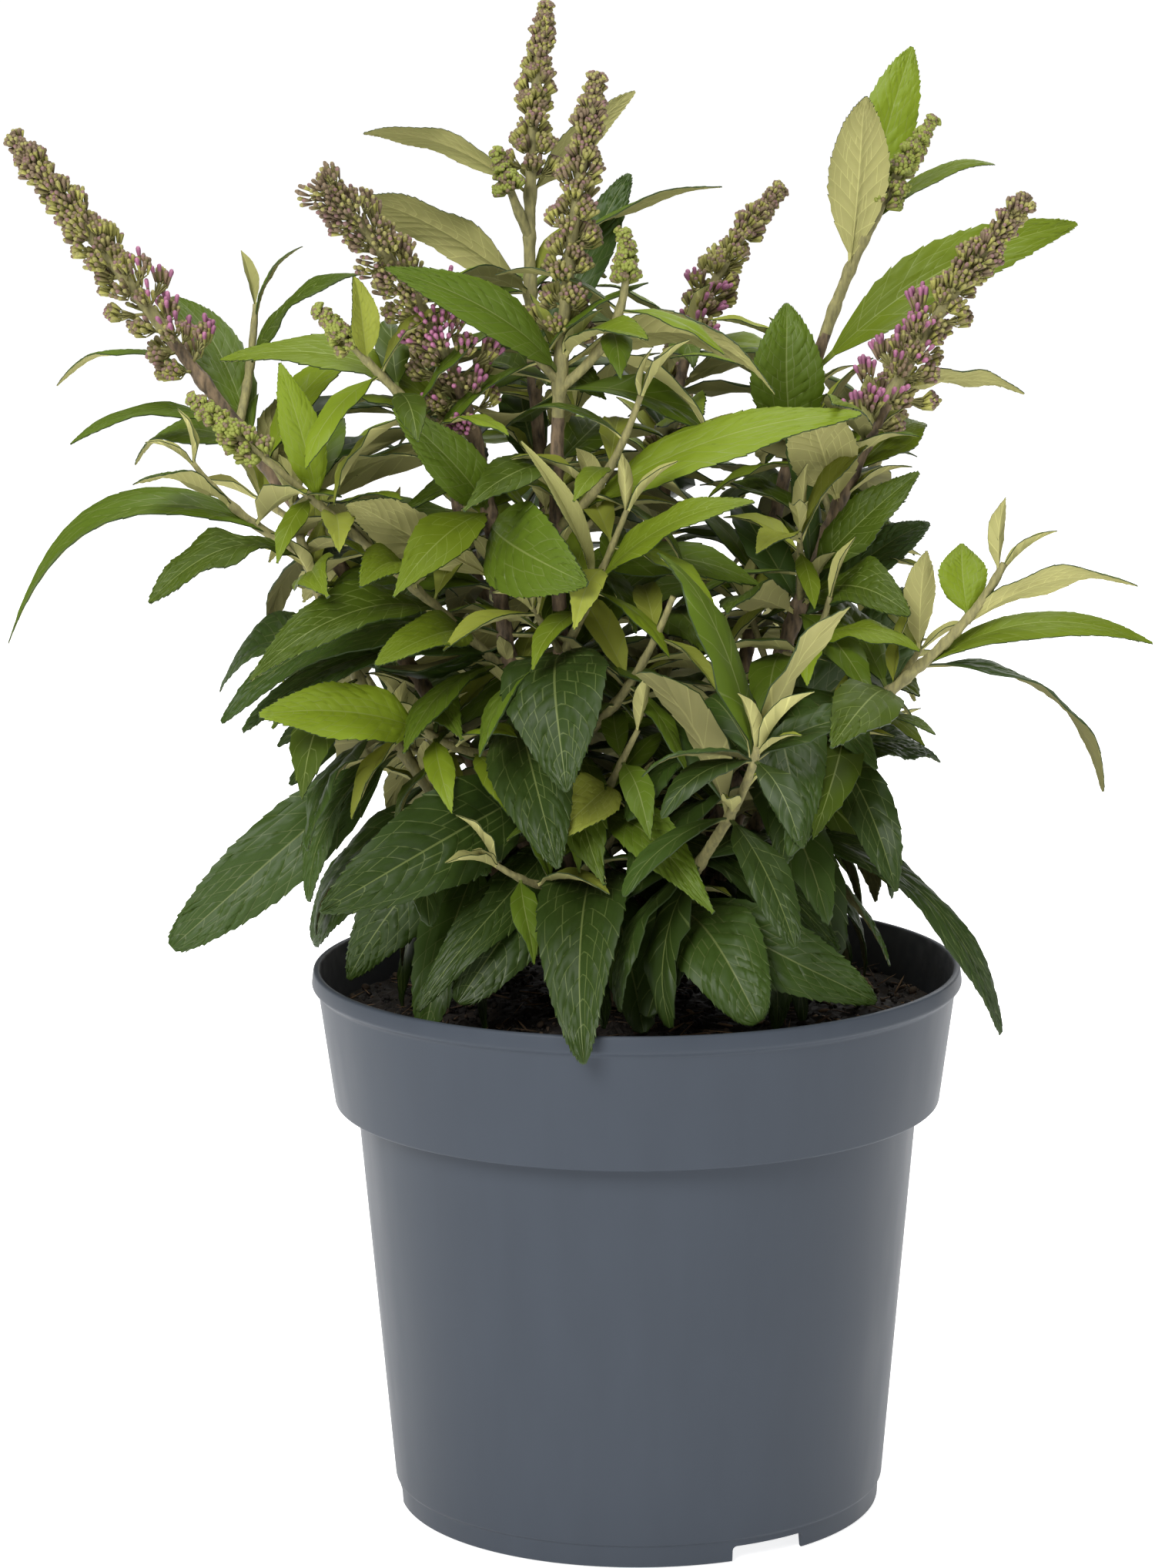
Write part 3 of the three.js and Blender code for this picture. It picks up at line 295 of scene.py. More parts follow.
class BushColours(bpy.types.PropertyGroup):
    """Colours of the pot, the soil and the plant."""

    pot: colour_prop("Pot", "Slate plastic", (0.040, 0.048, 0.061))
    soil: colour_prop("Soil", "Damp peat", (0.012, 0.008, 0.005))
    fibre: colour_prop("Fibre", "Dry fibre and bark chips in the soil", (0.16, 0.095, 0.045))
    bark_old: colour_prop("Old bark", "Brown bark near the foot", (0.12, 0.085, 0.05))
    bark_young: colour_prop("Young bark", "Felted green-tan stems", (0.235, 0.215, 0.085))
    leaf_old: colour_prop("Old leaf", "Top of the lowest leaves", (0.024, 0.045, 0.006))
    leaf_grown: colour_prop("Grown leaf", "Top of the middle leaves", (0.054, 0.085, 0.006))
    leaf_bright: colour_prop("Bright leaf", "Top of the upper leaves", (0.108, 0.15, 0.008))
    leaf_young: colour_prop("Young leaf", "Top of the youngest leaves", (0.175, 0.195, 0.026))
    under: colour_prop("Underside", "Felt under the leaves", (0.325, 0.31, 0.12))
    bud: colour_prop("Bud", "Calyx of a flower bud", (0.255, 0.245, 0.06))
    bud_tip: colour_prop("Bud tip", "Tip of an unopened bud", (0.145, 0.102, 0.058))
    bud_green: colour_prop("Green bud", "Buds of the youngest spikes", (0.185, 0.21, 0.03))
    flower: colour_prop("Flower", "Flower tube", (0.25, 0.088, 0.16))
    vein: colour_prop("Vein", "What the veins on top of a leaf turn towards", (0.36, 0.4, 0.13))


# ---------------------------------------------------------------- numbers and curves


def mix(a, b, t):
    """Straight from a to b."""
    return a + (b - a) * t


def unit(v):
    """A vector of length 1."""
    return v / np.linalg.norm(v)


def drawer(seed):
    """Mulberry's 32-bit generator, which draws the same numbers as the frame's rule."""
    mask = 0xFFFFFFFF
    state = seed & mask

    def draw():
        nonlocal state
        state = (state + 0x6D2B79F5) & mask
        t = ((state ^ (state >> 15)) * (state | 1)) & mask
        t ^= (t + (((t ^ (t >> 7)) * (t | 61)) & mask)) & mask
        return (t ^ (t >> 14)) / 4294967296

    return draw


def drawn(draw, least, more, power=1):
    """A drawn value, from the least to as much as more above it."""
    return least + more * draw() ** power


def either_way(draw, width):
    """A drawn value that lies within half of a width of 0."""
    return (draw() - 0.5) * width


class Path:
    """A curve through points that are evenly spread over it, with a frame that doesn't twist."""

    def __init__(self, points):
        self.points = np.array(points, float)
        self.flower = 0
        chord = np.abs(self.points[-1] - self.points[0])
        self.reference = np.eye(3)[int(np.argmin(chord))]
        steps = self.at(np.linspace(0, 1, 21))
        self.length = float(np.linalg.norm(np.diff(steps, axis=0), axis=1).sum())

    def at(self, t):
        """Points at one share of the curve, or at an array of them."""
        n = len(self.points) - 1
        t = np.asarray(t, float)
        out = np.zeros(t.shape + (3,))
        for i, point in enumerate(self.points):
            share = np.ones(t.shape)
            for j in range(n + 1):
                if j != i:
                    share = share * (t * n - j) / (i - j)
            out += share[..., None] * point
        return out

    def frame(self, t):
        """Place, direction, and the two directions square to it."""
        step = 0.001
        along = unit(self.at(t + step) - self.at(t - step))
        side = unit(np.cross(along, self.reference))
        return {"at": self.at(t), "along": along, "side": side, "out": np.cross(side, along)}

    def at_height(self, z):
        """Share of the curve at which it reaches a height."""
        low, high = 0.0, 1.0
        for _ in range(24):
            t = (low + high) / 2
            low, high = (t, high) if self.at(t)[2] < z else (low, t)
        return low


# ---------------------------------------------------------------- the rule of growth


def collar_radius(z):
    """Outer radius of the pot's collar."""
    share = (z - POT["collar_from"]) / (POT["height"] - POT["lip_height"] - POT["collar_from"])
    return mix(POT["collar_low"], POT["collar_high"], share)


def body_radius(z):
    """Outer radius of the pot's body."""
    share = (z - POT["foot_height"]) / (POT["collar_from"] - POT["foot_height"])
    return mix(POT["body_low"], POT["body_high"], share)


def inner_collar(z):
    """Inner radius of the pot's collar."""
    return collar_radius(z) - POT["wall"]


def inner_body(z):
    """Inner radius of the pot's body."""
    return body_radius(z) - POT["wall"] - POT["draft"]


def soil_height(x, y):
    """Height of the soil's smooth surface."""
    out = np.hypot(x, y) / collar_radius(SOIL["top"])
    bump = SOIL["bump"] * np.sin(x / SOIL["bump_along"]) * np.cos(y / SOIL["bump_across"])
    return SOIL["top"] + SOIL["mound"] * (0.5 - out * out) + bump


def foot_of(root, thick):
    """Where a shoot's middle line starts, inside the crown."""
    turn, place = math.radians(root[0]), root[1]
    out = CROWN["high"] - CROWN["gap"] - (thick if place == "top" else 0)
    z = CROWN["top"] - CROWN["in_top" if place == "top" else "in_flank"]
    return (out * math.cos(turn), out * math.sin(turn), z)


def blade_frame(leaf):
    """A leaf's chord, and the directions up from it and across it."""
    chord = leaf["tip"] - leaf["root"]
    along = unit(chord)
    lean = leaf.get("face", 0)
    top = UP * (1 - abs(lean)) + FRONT * lean
    rise = top - np.dot(top, along) * along
    if np.linalg.norm(rise) < 0.05:
        rise = FRONT.copy()
    rise = unit(rise)
    turn = math.radians(leaf["turn"])
    rise = (rise * math.cos(turn) + np.cross(along, rise) * math.sin(turn)
            + along * np.dot(along, rise) * (1 - math.cos(turn)))
    return chord, rise, unit(np.cross(along, rise))


def blade_share(t):
    """Half of a blade's width at t, as a share of its greatest half width."""
    broadest, t = BLADE["broadest"], np.clip(t, 0, 1)
    a = broadest / (1 - broadest)
    return t ** a * (1 - t) / (broadest ** a * (1 - broadest))


def midrib(leaf, chord, rise, t):
    """Points on a leaf's middle line."""
    t = np.asarray(t, float)[..., None]
    return leaf["root"] + chord * t + rise * (leaf["arch"] * 4 * t * (1 - t))


def half_width(leaf, t):
    """Half of the width of a frame's leaf, never less than its stalk."""
    stalk = min(BLADE["petiole"], leaf["wide"] * BLADE["petiole_share"]) / 2
    return np.maximum(leaf["wide"] / 2 * blade_share(t), stalk)


def coarse_blade(leaf, extra=0.0, start=0.0, steps=4):
    """Corners and faces of a leaf as a closed box that follows it, with extra room all round."""
    chord, rise, side = blade_frame(leaf)
    t = np.linspace(start, 1, steps + 1)
    middle = midrib(leaf, chord, rise, t)
    half = (half_width(leaf, t) + extra)[:, None]
    high = BLADE["thick"] / 2 + extra + BLADE["fold"] * half
    low = -BLADE["thick"] / 2 - extra
    rings = np.stack([middle - side * half + rise * low, middle + side * half + rise * low,
                      middle + side * half + rise * high, middle - side * half + rise * high], 1)
    faces = [(0, 1, 2, 3), (steps * 4, steps * 4 + 3, steps * 4 + 2, steps * 4 + 1)]
    for i in range(steps):
        for k in range(4):
            a, b = i * 4 + k, i * 4 + (k + 1) % 4
            faces.append((a, a + 4, b + 4, b))
    return rings.reshape(-1, 3), faces


def out_of(at, turn, lift):
    """A direction out of a stem: turn goes round it and lift up from its square plane."""
    round_it = at["side"] * math.cos(turn) + at["out"] * math.sin(turn)
    return round_it * math.cos(lift) + at["along"] * math.sin(lift)


def clear_of_pot(points):
    """Whether points keep off the pot and the soil."""
    room = BLADE["room"]
    out = np.hypot(points[:, 0], points[:, 1])
    above = (points[:, 2] > POT["height"] + room) | (out > POT["lip_radius"] + room)
    ground = soil_height(points[:, 0], points[:, 1]) + room
    inside = (out < inner_collar(SOIL["top"]) - room) & (points[:, 2] > ground)
    return bool(np.all(above | inside))


def within_reach(points):
    """Whether points stay in the crown."""
    out = np.hypot(points[:, 0] - REACH_MIDDLE[0], (points[:, 1] - REACH_MIDDLE[1]) / REACH_DEEPER)
    places, values = zip(*REACH)
    return bool(np.all((out < np.interp(points[:, 2], places, values)) & (points[:, 2] < REACH_TOP)))


class Bush:
    """Every limb, twig, leaf and spike of the plant, with its place."""

    def __init__(self):
        self.paths = {}
        self.axes = {}  # per shoot and twig: (shoot, path)
        self.twigs = {}
        self.leaves = {}
        self.spikes = {}
        self.joints = {}  # per path: shares at which leaves stand
        self.trees = {}
        self.boxes = []
        self.solids = []
        for line in SHOOTS:
            self.start_shoot(*line)
        for line in TWIGS:
            self.start_twig(*line)
        for line in LEAVES:
            self.outline_leaf(*line)
        self.grow_by_rule()
        self.fill_in()

    def corners_of(self, owner):
        """The corners of a mass in the frame, for finding which leaves it has."""
        if owner not in self.trees:
            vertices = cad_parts[f"foliage_{owner}"].data.vertices
            tree = KDTree(len(vertices))
            for i, vertex in enumerate(vertices):
                tree.insert(vertex.co / MM, i)
            tree.balance()
            self.trees[owner] = tree
        return self.trees[owner]

    def stands(self, owner, *points):
        """Whether a mass of the frame has corners at all of these points."""
        close = 0.06
        tree = self.corners_of(owner)
        return all(tree.find(Vector(p))[2] < close for p in points)

    def start_shoot(self, name, root, low, high, tip, flower, girth, thick, bare):
        """A shoot's middle line, and where its leaves and its spike begin."""
        path = Path([foot_of(root, thick), low, high, tip])
        path.leaf_from = (bare + STEM["join"]) / path.length
        path.spike_from = 1 - flower / path.length
        path.thick, path.thin = thick, STEM["tip"] if flower else STEM["leafy_tip"]
        path.flower = flower
        self.paths[name] = path
        self.axes[name] = (name, path)
        self.joints[name] = []
        self.twigs[name] = []
        self.leaves[name] = []
        self.spikes[name] = [(path, path.spike_from, girth, flower)] if flower else []

    def start_twig(self, name, shoot, height, knee, tip, flower):
        """A named side twig."""
        stem = self.paths[shoot]
        share = stem.at_height(height)
        path = Path([stem.at(share), knee, tip])
        self.joints[shoot].append(share)
        self.axes[name] = (shoot, path)
        self.joints[name] = []
        self.twigs[shoot].append((name, path, TWIG["thick"], TWIG["thin"]))
        path.flower = flower
        if flower:
            girth = TWIG["spike"] * (1.3 if flower > 20 else 1)
            self.spikes[shoot].append((path, 1 - flower / path.length, girth, flower))

    def margin_corners(self, leaf, steps):
        """Two corners on the margin of the frame's leaf, which tell how it is turned."""
        chord, rise, side = blade_frame(leaf)
        t = (steps - 1) / steps
        half = float(half_width(leaf, t))
        return [midrib(leaf, chord, rise, t) + side * half * s
                + rise * (BLADE["thick"] / 2 + BLADE["fold"] * half) for s in (-1, 1)]

    def outline_leaf(self, on, height, tip, wide, arch, face, age):
        """A leaf of the outline, at the variant that the frame has."""
        owner, path = self.axes[on]
        share = path.at_height(height)
        root = path.at(share)
        length = np.linalg.norm(np.array(tip) - root)
        steps = 4 if length + 2 * arch > BLADE["long"] else 3
        for nudge in RULE["nudges"]:
            for turn in RULE["nudge_turns"]:
                leaf = {"root": root, "tip": np.array(tip, float) + (0, nudge, 0), "wide": wide,
                        "arch": arch, "turn": turn, "face": face, "age": age, "kind": "outline"}
                corners = self.margin_corners(leaf, steps)
                if self.stands(owner, leaf["tip"]) and any(self.stands(owner, c) for c in corners):
                    self.joints[on].append(share)
                    self.put_leaf(owner, leaf)
                    return

    def put_leaf(self, owner, leaf):
        """Keeps a leaf, and its solid for the leaves that come after it."""
        corners, faces = coarse_blade(leaf, start=BLADE["free"])
        self.boxes.append((corners.min(0), corners.max(0)))
        self.solids.append(BVHTree.FromPolygons([tuple(c) for c in corners], faces))
        self.leaves[owner].append(leaf)

    def ruled_leaf(self, owner, at, turn, lift, full_length, sag, roll, age):
        """A leaf by rule, at the variant that the frame has."""
        for size in RULE["sizes"]:
            for swing in RULE["swings"]:
                leaf = self.leaf_at(at, turn + math.radians(swing), lift, full_length * size, sag, roll)
                if self.stands(owner, leaf["tip"]):
                    leaf.update(age=age, kind="ruled")
                    self.put_leaf(owner, leaf)
                    return True
        return False

    def leaf_at(self, at, turn, lift, length, sag, roll):
        """A leaf that leaves a stem in a direction."""
        way = out_of(at, turn, lift)
        way[2] -= sag
        return {"root": at["at"].copy(), "tip": at["at"] + unit(way) * length, "turn": roll,
                "wide": length * RULE["slender"], "arch": length * (RULE["bow"][0] + RULE["bow"][1] * sag)}

    def ruled_twig(self, owner, at, turn, length, young, turns):
        """A twig by rule with its pair of young leaves, if the frame has it."""
        way = out_of(at, turn, math.radians(RULE["twig_lift"]))
        root = at["at"] + at["along"] * RULE["axil"]
        tip = root + way * length
        path = Path([root, (root + tip) / 2, tip])
        end = path.frame(1)
        thin = TWIG["ruled_thin"]
        ring = [end["at"] + thin * (end["side"] * math.cos(a) + end["out"] * math.sin(a))
                for a in (0, 2 * math.pi / 3, -2 * math.pi / 3)]
        if not any(self.stands(owner, corner) for corner in ring):
            return
        name = f"{owner}_ruled_{len(self.twigs[owner])}"
        self.twigs[owner].append((name, path, TWIG["ruled_thick"], thin))
        self.axes[name] = (owner, path)
        self.joints[name] = []
        near_tip = path.frame(0.9)
        for side in (0, math.pi):
            self.ruled_leaf(owner, near_tip, turns + side, math.radians(RULE["young_lift"]), young,
                            RULE["young_sag"], 0, "young")

    def grow_by_rule(self):
        """The joints of every shoot, from the crown up, with the same draws as the frame."""
        growth = []
        for index, name in enumerate(self.paths):
            draw = drawer(RULE["seed"] + 9000 + 211 * index)
            path = self.paths[name]
            first = path.leaf_from + RULE["first_joint"] / path.length
            last = (path.spike_from if path.flower else STEM["end"]) - RULE["last_joint"] / path.length
            joints = max(2, math.floor((last - first) * path.length / RULE["spacing"] + 0.5))
            growth.append((name, draw, path, first, last, joints, draw() * math.pi))
        for k in range(max(one[5] for one in growth) + 1):
            for one in growth:
                if k <= one[5]:
                    self.grow_joint(*one, k)

    def grow_joint(self, owner, draw, path, first, last, joints, start, k):
        """Both sides of one joint."""
        share = k / joints
        t = mix(first, last, share ** RULE["crowding"])
        at = path.frame(t)
        self.joints[owner].append(t)
        for side in (0, 1):
            turn = start + k * math.pi / 2 + side * math.pi + either_way(draw, RULE["turn_spread"])
            spread = 1 + either_way(draw, RULE["length_spread"])
            length = mix(RULE["longest"], RULE["shortest"], share) * spread
            lift = math.radians(mix(*RULE["lift"], share) + either_way(draw, RULE["lift_spread"]))
            roll = either_way(draw, RULE["roll"])
            age = self.age_at(at["at"][2], share)
            self.ruled_leaf(owner, at, turn, lift, length, mix(*RULE["sag"], share), roll, age)
            has_twig = draw() < RULE["twig_chance"]
            twig_length = mix(*RULE["twig_length"], draw())
            young = mix(*RULE["young_leaf"], draw())
            turns = draw() * math.pi
            twig_turn = turn + either_way(draw, RULE["twig_spread"])
            if has_twig:
                self.ruled_twig(owner, at, twig_turn, twig_length, young, turns)

    def age_at(self, z, share):
        """How old a leaf is, by its height and its share of the shoot, with some that differ."""
        stray = math.sin(z * 12.9)
        if z + AGE_STRAY[0] * stray < OLD_BELOW:
            return "old"
        if share + AGE_STRAY[1] * stray < GROWN_UNTIL:
            return "grown"
        return "bright"

    def is_free(self, leaf):
        """Whether a leaf clears every leaf that is already there."""
        corners, faces = coarse_blade(leaf, extra=0.2, start=BLADE["free"])
        low, high = corners.min(0), corners.max(0)
        tree = None
        for (a, b), solid in zip(self.boxes, self.solids):
            if np.any(a > high) or np.any(low > b):
                continue
            if tree is None:
                tree = BVHTree.FromPolygons([tuple(c) for c in corners], faces)
            if tree.overlap(solid):
                return False
        return True

    def try_leaf(self, owner, at, turn, lift, length, sag, roll, age, bounded=True, slender=0.28):
        """A finer leaf at the first of its variants that is free."""
        for swing in RULE["swings"][:5]:
            leaf = self.leaf_at(at, turn + math.radians(swing), lift, length, sag, roll)
            leaf["wide"] = length * slender
            chord, rise, side = blade_frame(leaf)
            t = np.linspace(0.2, 1, 7)
            middle = midrib(leaf, chord, rise, t)
            half = half_width(leaf, t)[:, None]
            points = np.concatenate([middle, middle + side * half, middle - side * half])
            if not clear_of_pot(points) or (bounded and not within_reach(points)):
                continue
            if self.is_free(leaf):
                leaf.update(age=age, kind="fine")
                self.put_leaf(owner, leaf)
                return True
        return False

    def fill_in(self):
        """The finer leaves: tips, pairs along the twigs, and more pairs from the joints."""
        draw = drawer(RULE["seed"] + 70001)
        for owner, path in self.paths.items():
            if not path.flower:
                self.tip_tuft(owner, path, TUFT["shoot_at"], draw, TUFT["shoot_long"])
        for owner, twigs in self.twigs.items():
            for name, path, _, _ in twigs:
                self.twig_leaves(owner, name, path, draw)
        for owner, path in self.paths.items():
            self.joint_leaves(owner, path, draw)
        for owner, path in self.paths.items():
            self.inner_leaves(owner, path, draw)
            self.axil_tufts(owner, path, draw)

    def tip_tuft(self, owner, path, t, draw, length):
        """The folded young pairs that end a leafy stem."""
        at = path.frame(t)
        turn = draw() * math.pi
        for pair, (lift, share) in enumerate(TUFT["pairs"]):
            for side in (0, math.pi):
                size = length * share * drawn(draw, *PAIR_SIZE)
                self.try_leaf(owner, at, turn + pair * math.pi / 2 + side, math.radians(lift), size, 0, 0,
                              "tip", bounded=False, slender=TUFT["slender"])

    def twig_leaves(self, owner, name, path, draw):
        """Pairs along a twig, and its tip."""
        leafy = 1 - path.flower / path.length
        pairs = max(1, round(path.length * leafy / ALONG_TWIG["spacing"]))
        turn = draw() * math.pi
        for k in range(pairs):
            t = mix(*ALONG_TWIG["part"], (k + 0.5) / pairs) * leafy
            self.joints[name].append(t)
            for side in (0, math.pi):
                size = mix(*ALONG_TWIG["long"], t) * drawn(draw, *PAIR_SIZE)
                kind = draw()
                age = "grown"
                if kind < ALONG_TWIG["bright"]:
                    age = "young" if kind < ALONG_TWIG["young"] else "bright"
                self.try_leaf(owner, path.frame(t), turn + side, math.radians(ALONG_TWIG["lift"]), size,
                              ALONG_TWIG["sag"], either_way(draw, ALONG_TWIG["roll"]), age)
            turn += math.pi / 2
        if not path.flower:
            self.tip_tuft(owner, path, TUFT["twig_at"], draw, TUFT["twig_long"])

    def joint_leaves(self, owner, path, draw):
        """More leaves from the same joints, where there is room."""
        for t in sorted(self.joints[owner]):
            if t > path.spike_from:
                continue
            at = path.frame(t)
            z = at["at"][2]
            share = (t - path.leaf_from) / (1 - path.leaf_from)
            base = draw() * math.pi
            for k in range(AT_JOINT["leaves"]):
                turn = base + k * 2 * math.pi / AT_JOINT["leaves"]
                backward = out_of(at, turn, 0)[1]
                length = mix(*AT_JOINT["long"], share) * drawn(draw, *JOINT_SIZE)
                roll = either_way(draw, AT_JOINT["roll"])
                if draw() < AT_JOINT["turned"] and z > TURNED_ABOVE:
                    roll += TURNED
                if backward < -0.25 and z > OPEN_FRONT.get(owner, REACH_TOP):
                    continue
                age = "old" if backward > 0.2 and z < SHADED_BELOW else self.age_at(z, share)
                lift = math.radians(mix(*AT_JOINT["lift"], share))
                self.try_leaf(owner, at, turn, lift, length, mix(*AT_JOINT["sag"], share), roll, age)

    def inner_leaves(self, owner, path, draw):
        """Upright and shaded leaves that close the inside of the bush."""
        for t in sorted(self.joints[owner]):
            at = path.frame(t)
            if t > path.spike_from or at["at"][2] > INNER_BELOW:
                continue
            base = draw() * math.pi
            for k in range(INSIDE["leaves"]):
                turn = base + k * 2 * math.pi / INSIDE["leaves"]
                length = INSIDE["long"] * drawn(draw, *JOINT_SIZE)
                lift = math.radians(drawn(draw, *INSIDE["lift"]))
                roll = either_way(draw, INSIDE["roll"])
                age = "old" if draw() < INSIDE["old"] else "grown"
                if out_of(at, turn, 0)[1] > INSIDE["backward"]:
                    self.try_leaf(owner, at, turn, lift, length, INSIDE["sag"], roll, age,
                                  slender=INSIDE["slender"])

    def axil_tufts(self, owner, path, draw):
        """Small young pairs just above some of the joints."""
        for t in sorted(self.joints[owner]):
            if t > path.spike_from or draw() < AXIL["none"]:
                continue
            above = path.frame(t + AXIL["above"] / path.length)
            base = draw() * math.pi
            for k in range(2):
                size = drawn(draw, *AXIL["long"])
                self.try_leaf(owner, above, base + k * math.pi, math.radians(AXIL["lift"]), size, 0, 0,
                              "young")


# ---------------------------------------------------------------- meshes from arrays


def mesh_object(name, vertices, faces, tones, materials, smooth_angle=None):
    """One joined piece from arrays in mm: tones gives the material of each face."""
    mesh = bpy.data.meshes.new(name)
    mesh.from_pydata((np.asarray(vertices) * MM).tolist(), [], faces)
    for material in materials:
        mesh.materials.append(material)
    mesh.polygons.foreach_set("material_index", np.asarray(tones, np.int32))
    mesh.polygons.foreach_set("use_smooth", np.ones(len(mesh.polygons), bool))
    mesh.update()
    piece = bpy.data.objects.new(name, mesh)
    bpy.context.scene.collection.objects.link(piece)
    if smooth_angle is not None:
        select_only(piece)
        bpy.ops.object.shade_smooth_by_angle(angle=math.radians(smooth_angle))
    return piece


class Gatherer:
    """Collects small shapes into one set of arrays."""

    def __init__(self):
        self.vertices, self.faces, self.tones = [], [], []
        self.count = 0

    def add(self, vertices, faces, tones):
        """Adds a shape whose faces are tuples of its own corners."""
        for face in faces:
            self.faces.append(tuple(i + self.count for i in face))
        self.vertices.append(vertices)
        self.tones.extend(tones)
        self.count += len(vertices)

    def build(self, name, materials, smooth_angle=None):
        """The joined piece."""
        vertices = np.concatenate(self.vertices)
        return mesh_object(name, vertices, self.faces, self.tones, materials, smooth_angle)


# Each kind of leaf: side veins, rows between two of them, columns in a half of the top and of the
# underside, and which pairs of the top's columns may hold a cross vein.
LEAF_GRADES = {
    "outline": {
        "veins": 12, "between": 3,
        "over": (0.022, 0.11, 0.2, 0.228, 0.31, 0.4, 0.425, 0.51, 0.6, 0.622, 0.71, 0.8, 0.818, 0.91, 1.0),
        "under": (0.03, 0.25, 0.5, 0.76, 1.0), "cross": (2, 5, 8, 11),
    },
    "ruled": {
        "veins": 9, "between": 2, "over": (0.026, 0.16, 0.3, 0.33, 0.47, 0.62, 0.645, 0.82, 1.0),
        "under": (0.035, 0.5, 1.0), "cross": (2, 5),
    },
    "fine": {
        "veins": 6, "between": 2, "over": (0.035, 0.36, 0.7, 1.0), "under": (0.05, 1.0), "cross": (),
    },
}
STALK = 0.09  # share of a leaf's length that is its stalk
LAST_ROW = 0.997  # share of a leaf's length at which its last row lies
VEIN_SHARE = 0.05  # share of the space between side veins that a vein takes
VEIN_SLANT = 0.21  # how far along a leaf its side veins run, as a share of its length
VEIN_CROWDING = 0.94  # power by which the side veins stand closer towards the tip
VEIN_STRAY = 0.36  # how far a side vein strays from its place, as a share of the space between two
CROSS_CHANCE = 0.5  # share of the places for a cross vein that hold one
CROSS_STRAY = (0.09, 0.07)  # how far a cross vein strays and slants, as shares of the half width
AGES = ("old", "grown", "bright", "young", "tip")
TONES = 2  # tones of green that a leaf's blade may have, before those of its veins and its rib
LEAF_TONES = TONES + 2
FELT_TONES = 4  # felt and its veins, and both once more for the shaded leaves
FOLDS = {"tip": 0.95, "young": 0.45}
ROUGHNESS_OF = {"old": 1.5, "grown": 1.2}
LEAST_BLUNT = {"old": 0.35, "outline": 0.22}  # for an old leaf, and for the others of the outline

# How a leaf's surface may differ from a flat blade. A pair without a comment is the least value and what
# a draw adds. Lengths are in mm, turns in degrees, and "hook" and "bend" are shares of a leaf's length.
FORM = {
    "aside": 0.8,  # how far the veins of one side lie from those of the other
    "toothed": (0.05, 0.97),  # share of the blade that has teeth
    "least_tooth": 0.3, "tooth_forward": 0.9, "waves": (1.0, 2.0), "swing": (0.5, 1.5),
    "fold": (0.08, 0.34),
    "lop": (0.3, 0.1),  # for an open and for a folded leaf
    "curl": (0.08, 0.26), "folded_curl": 0.3, "hook": 0.08, "hook_middle": 0.2, "hook_from": 0.72,
    "twist": 44, "twist_from": 0.3, "bend": 0.07,
    "stalk_half": (0.3, 0.75),  # for a tiny and for a full leaf
    "tip_half": 0.12, "tip_from": 0.9,
    "full_size": 18,  # width from which a leaf has the full relief
}

# How a leaf bulges and how thick it is: shares of the full relief on the veins and the margin, how much
# deeper the hollows of a netted underside are, and the height of the rib and of the veins below, in mm.
RELIEF = {
    "vein": 0.1, "margin": 0.3, "netted": 1.2, "plain_under": 0.35, "small_rib": 0.35, "ridge": 0.16,
    "rough": 0.8,
}


def leaf_rows(veins, between, draw):
    """Shares along a leaf at which its rows of corners lie, each row's cell and its place in it."""
    rows = [0.0, STALK * 0.5]
    cell_of = [-1, -1]
    phase = [0.0, 0.0]
    cells = np.linspace(0, 1, veins + 1) ** VEIN_CROWDING
    for k in range(1, veins):
        cells[k] += either_way(draw, VEIN_STRAY) / veins
    cells = STALK + cells * (1 - STALK)
    for k in range(veins):
        a, b = cells[k], cells[k + 1]
        for step in range(between + 1):
            rows.append(mix(a, b, (1 - VEIN_SHARE) * step / between))
            cell_of.append(k)
            phase.append(step / between)
    rows[-1] = LAST_ROW
    return np.array(rows), np.array(cell_of), np.array(phase)


def fine_share(t, blunt):
    """Half width of a real blade at t: a tapered foot, broad in the middle and a drawn-out point."""
    u = np.clip((t - STALK * 0.8) / (1 - STALK * 0.8), 0, 1)
    return np.sin(math.pi * u ** 0.92) ** mix(0.86, 1.14 - blunt, u) * (1 - 0.06 * u)


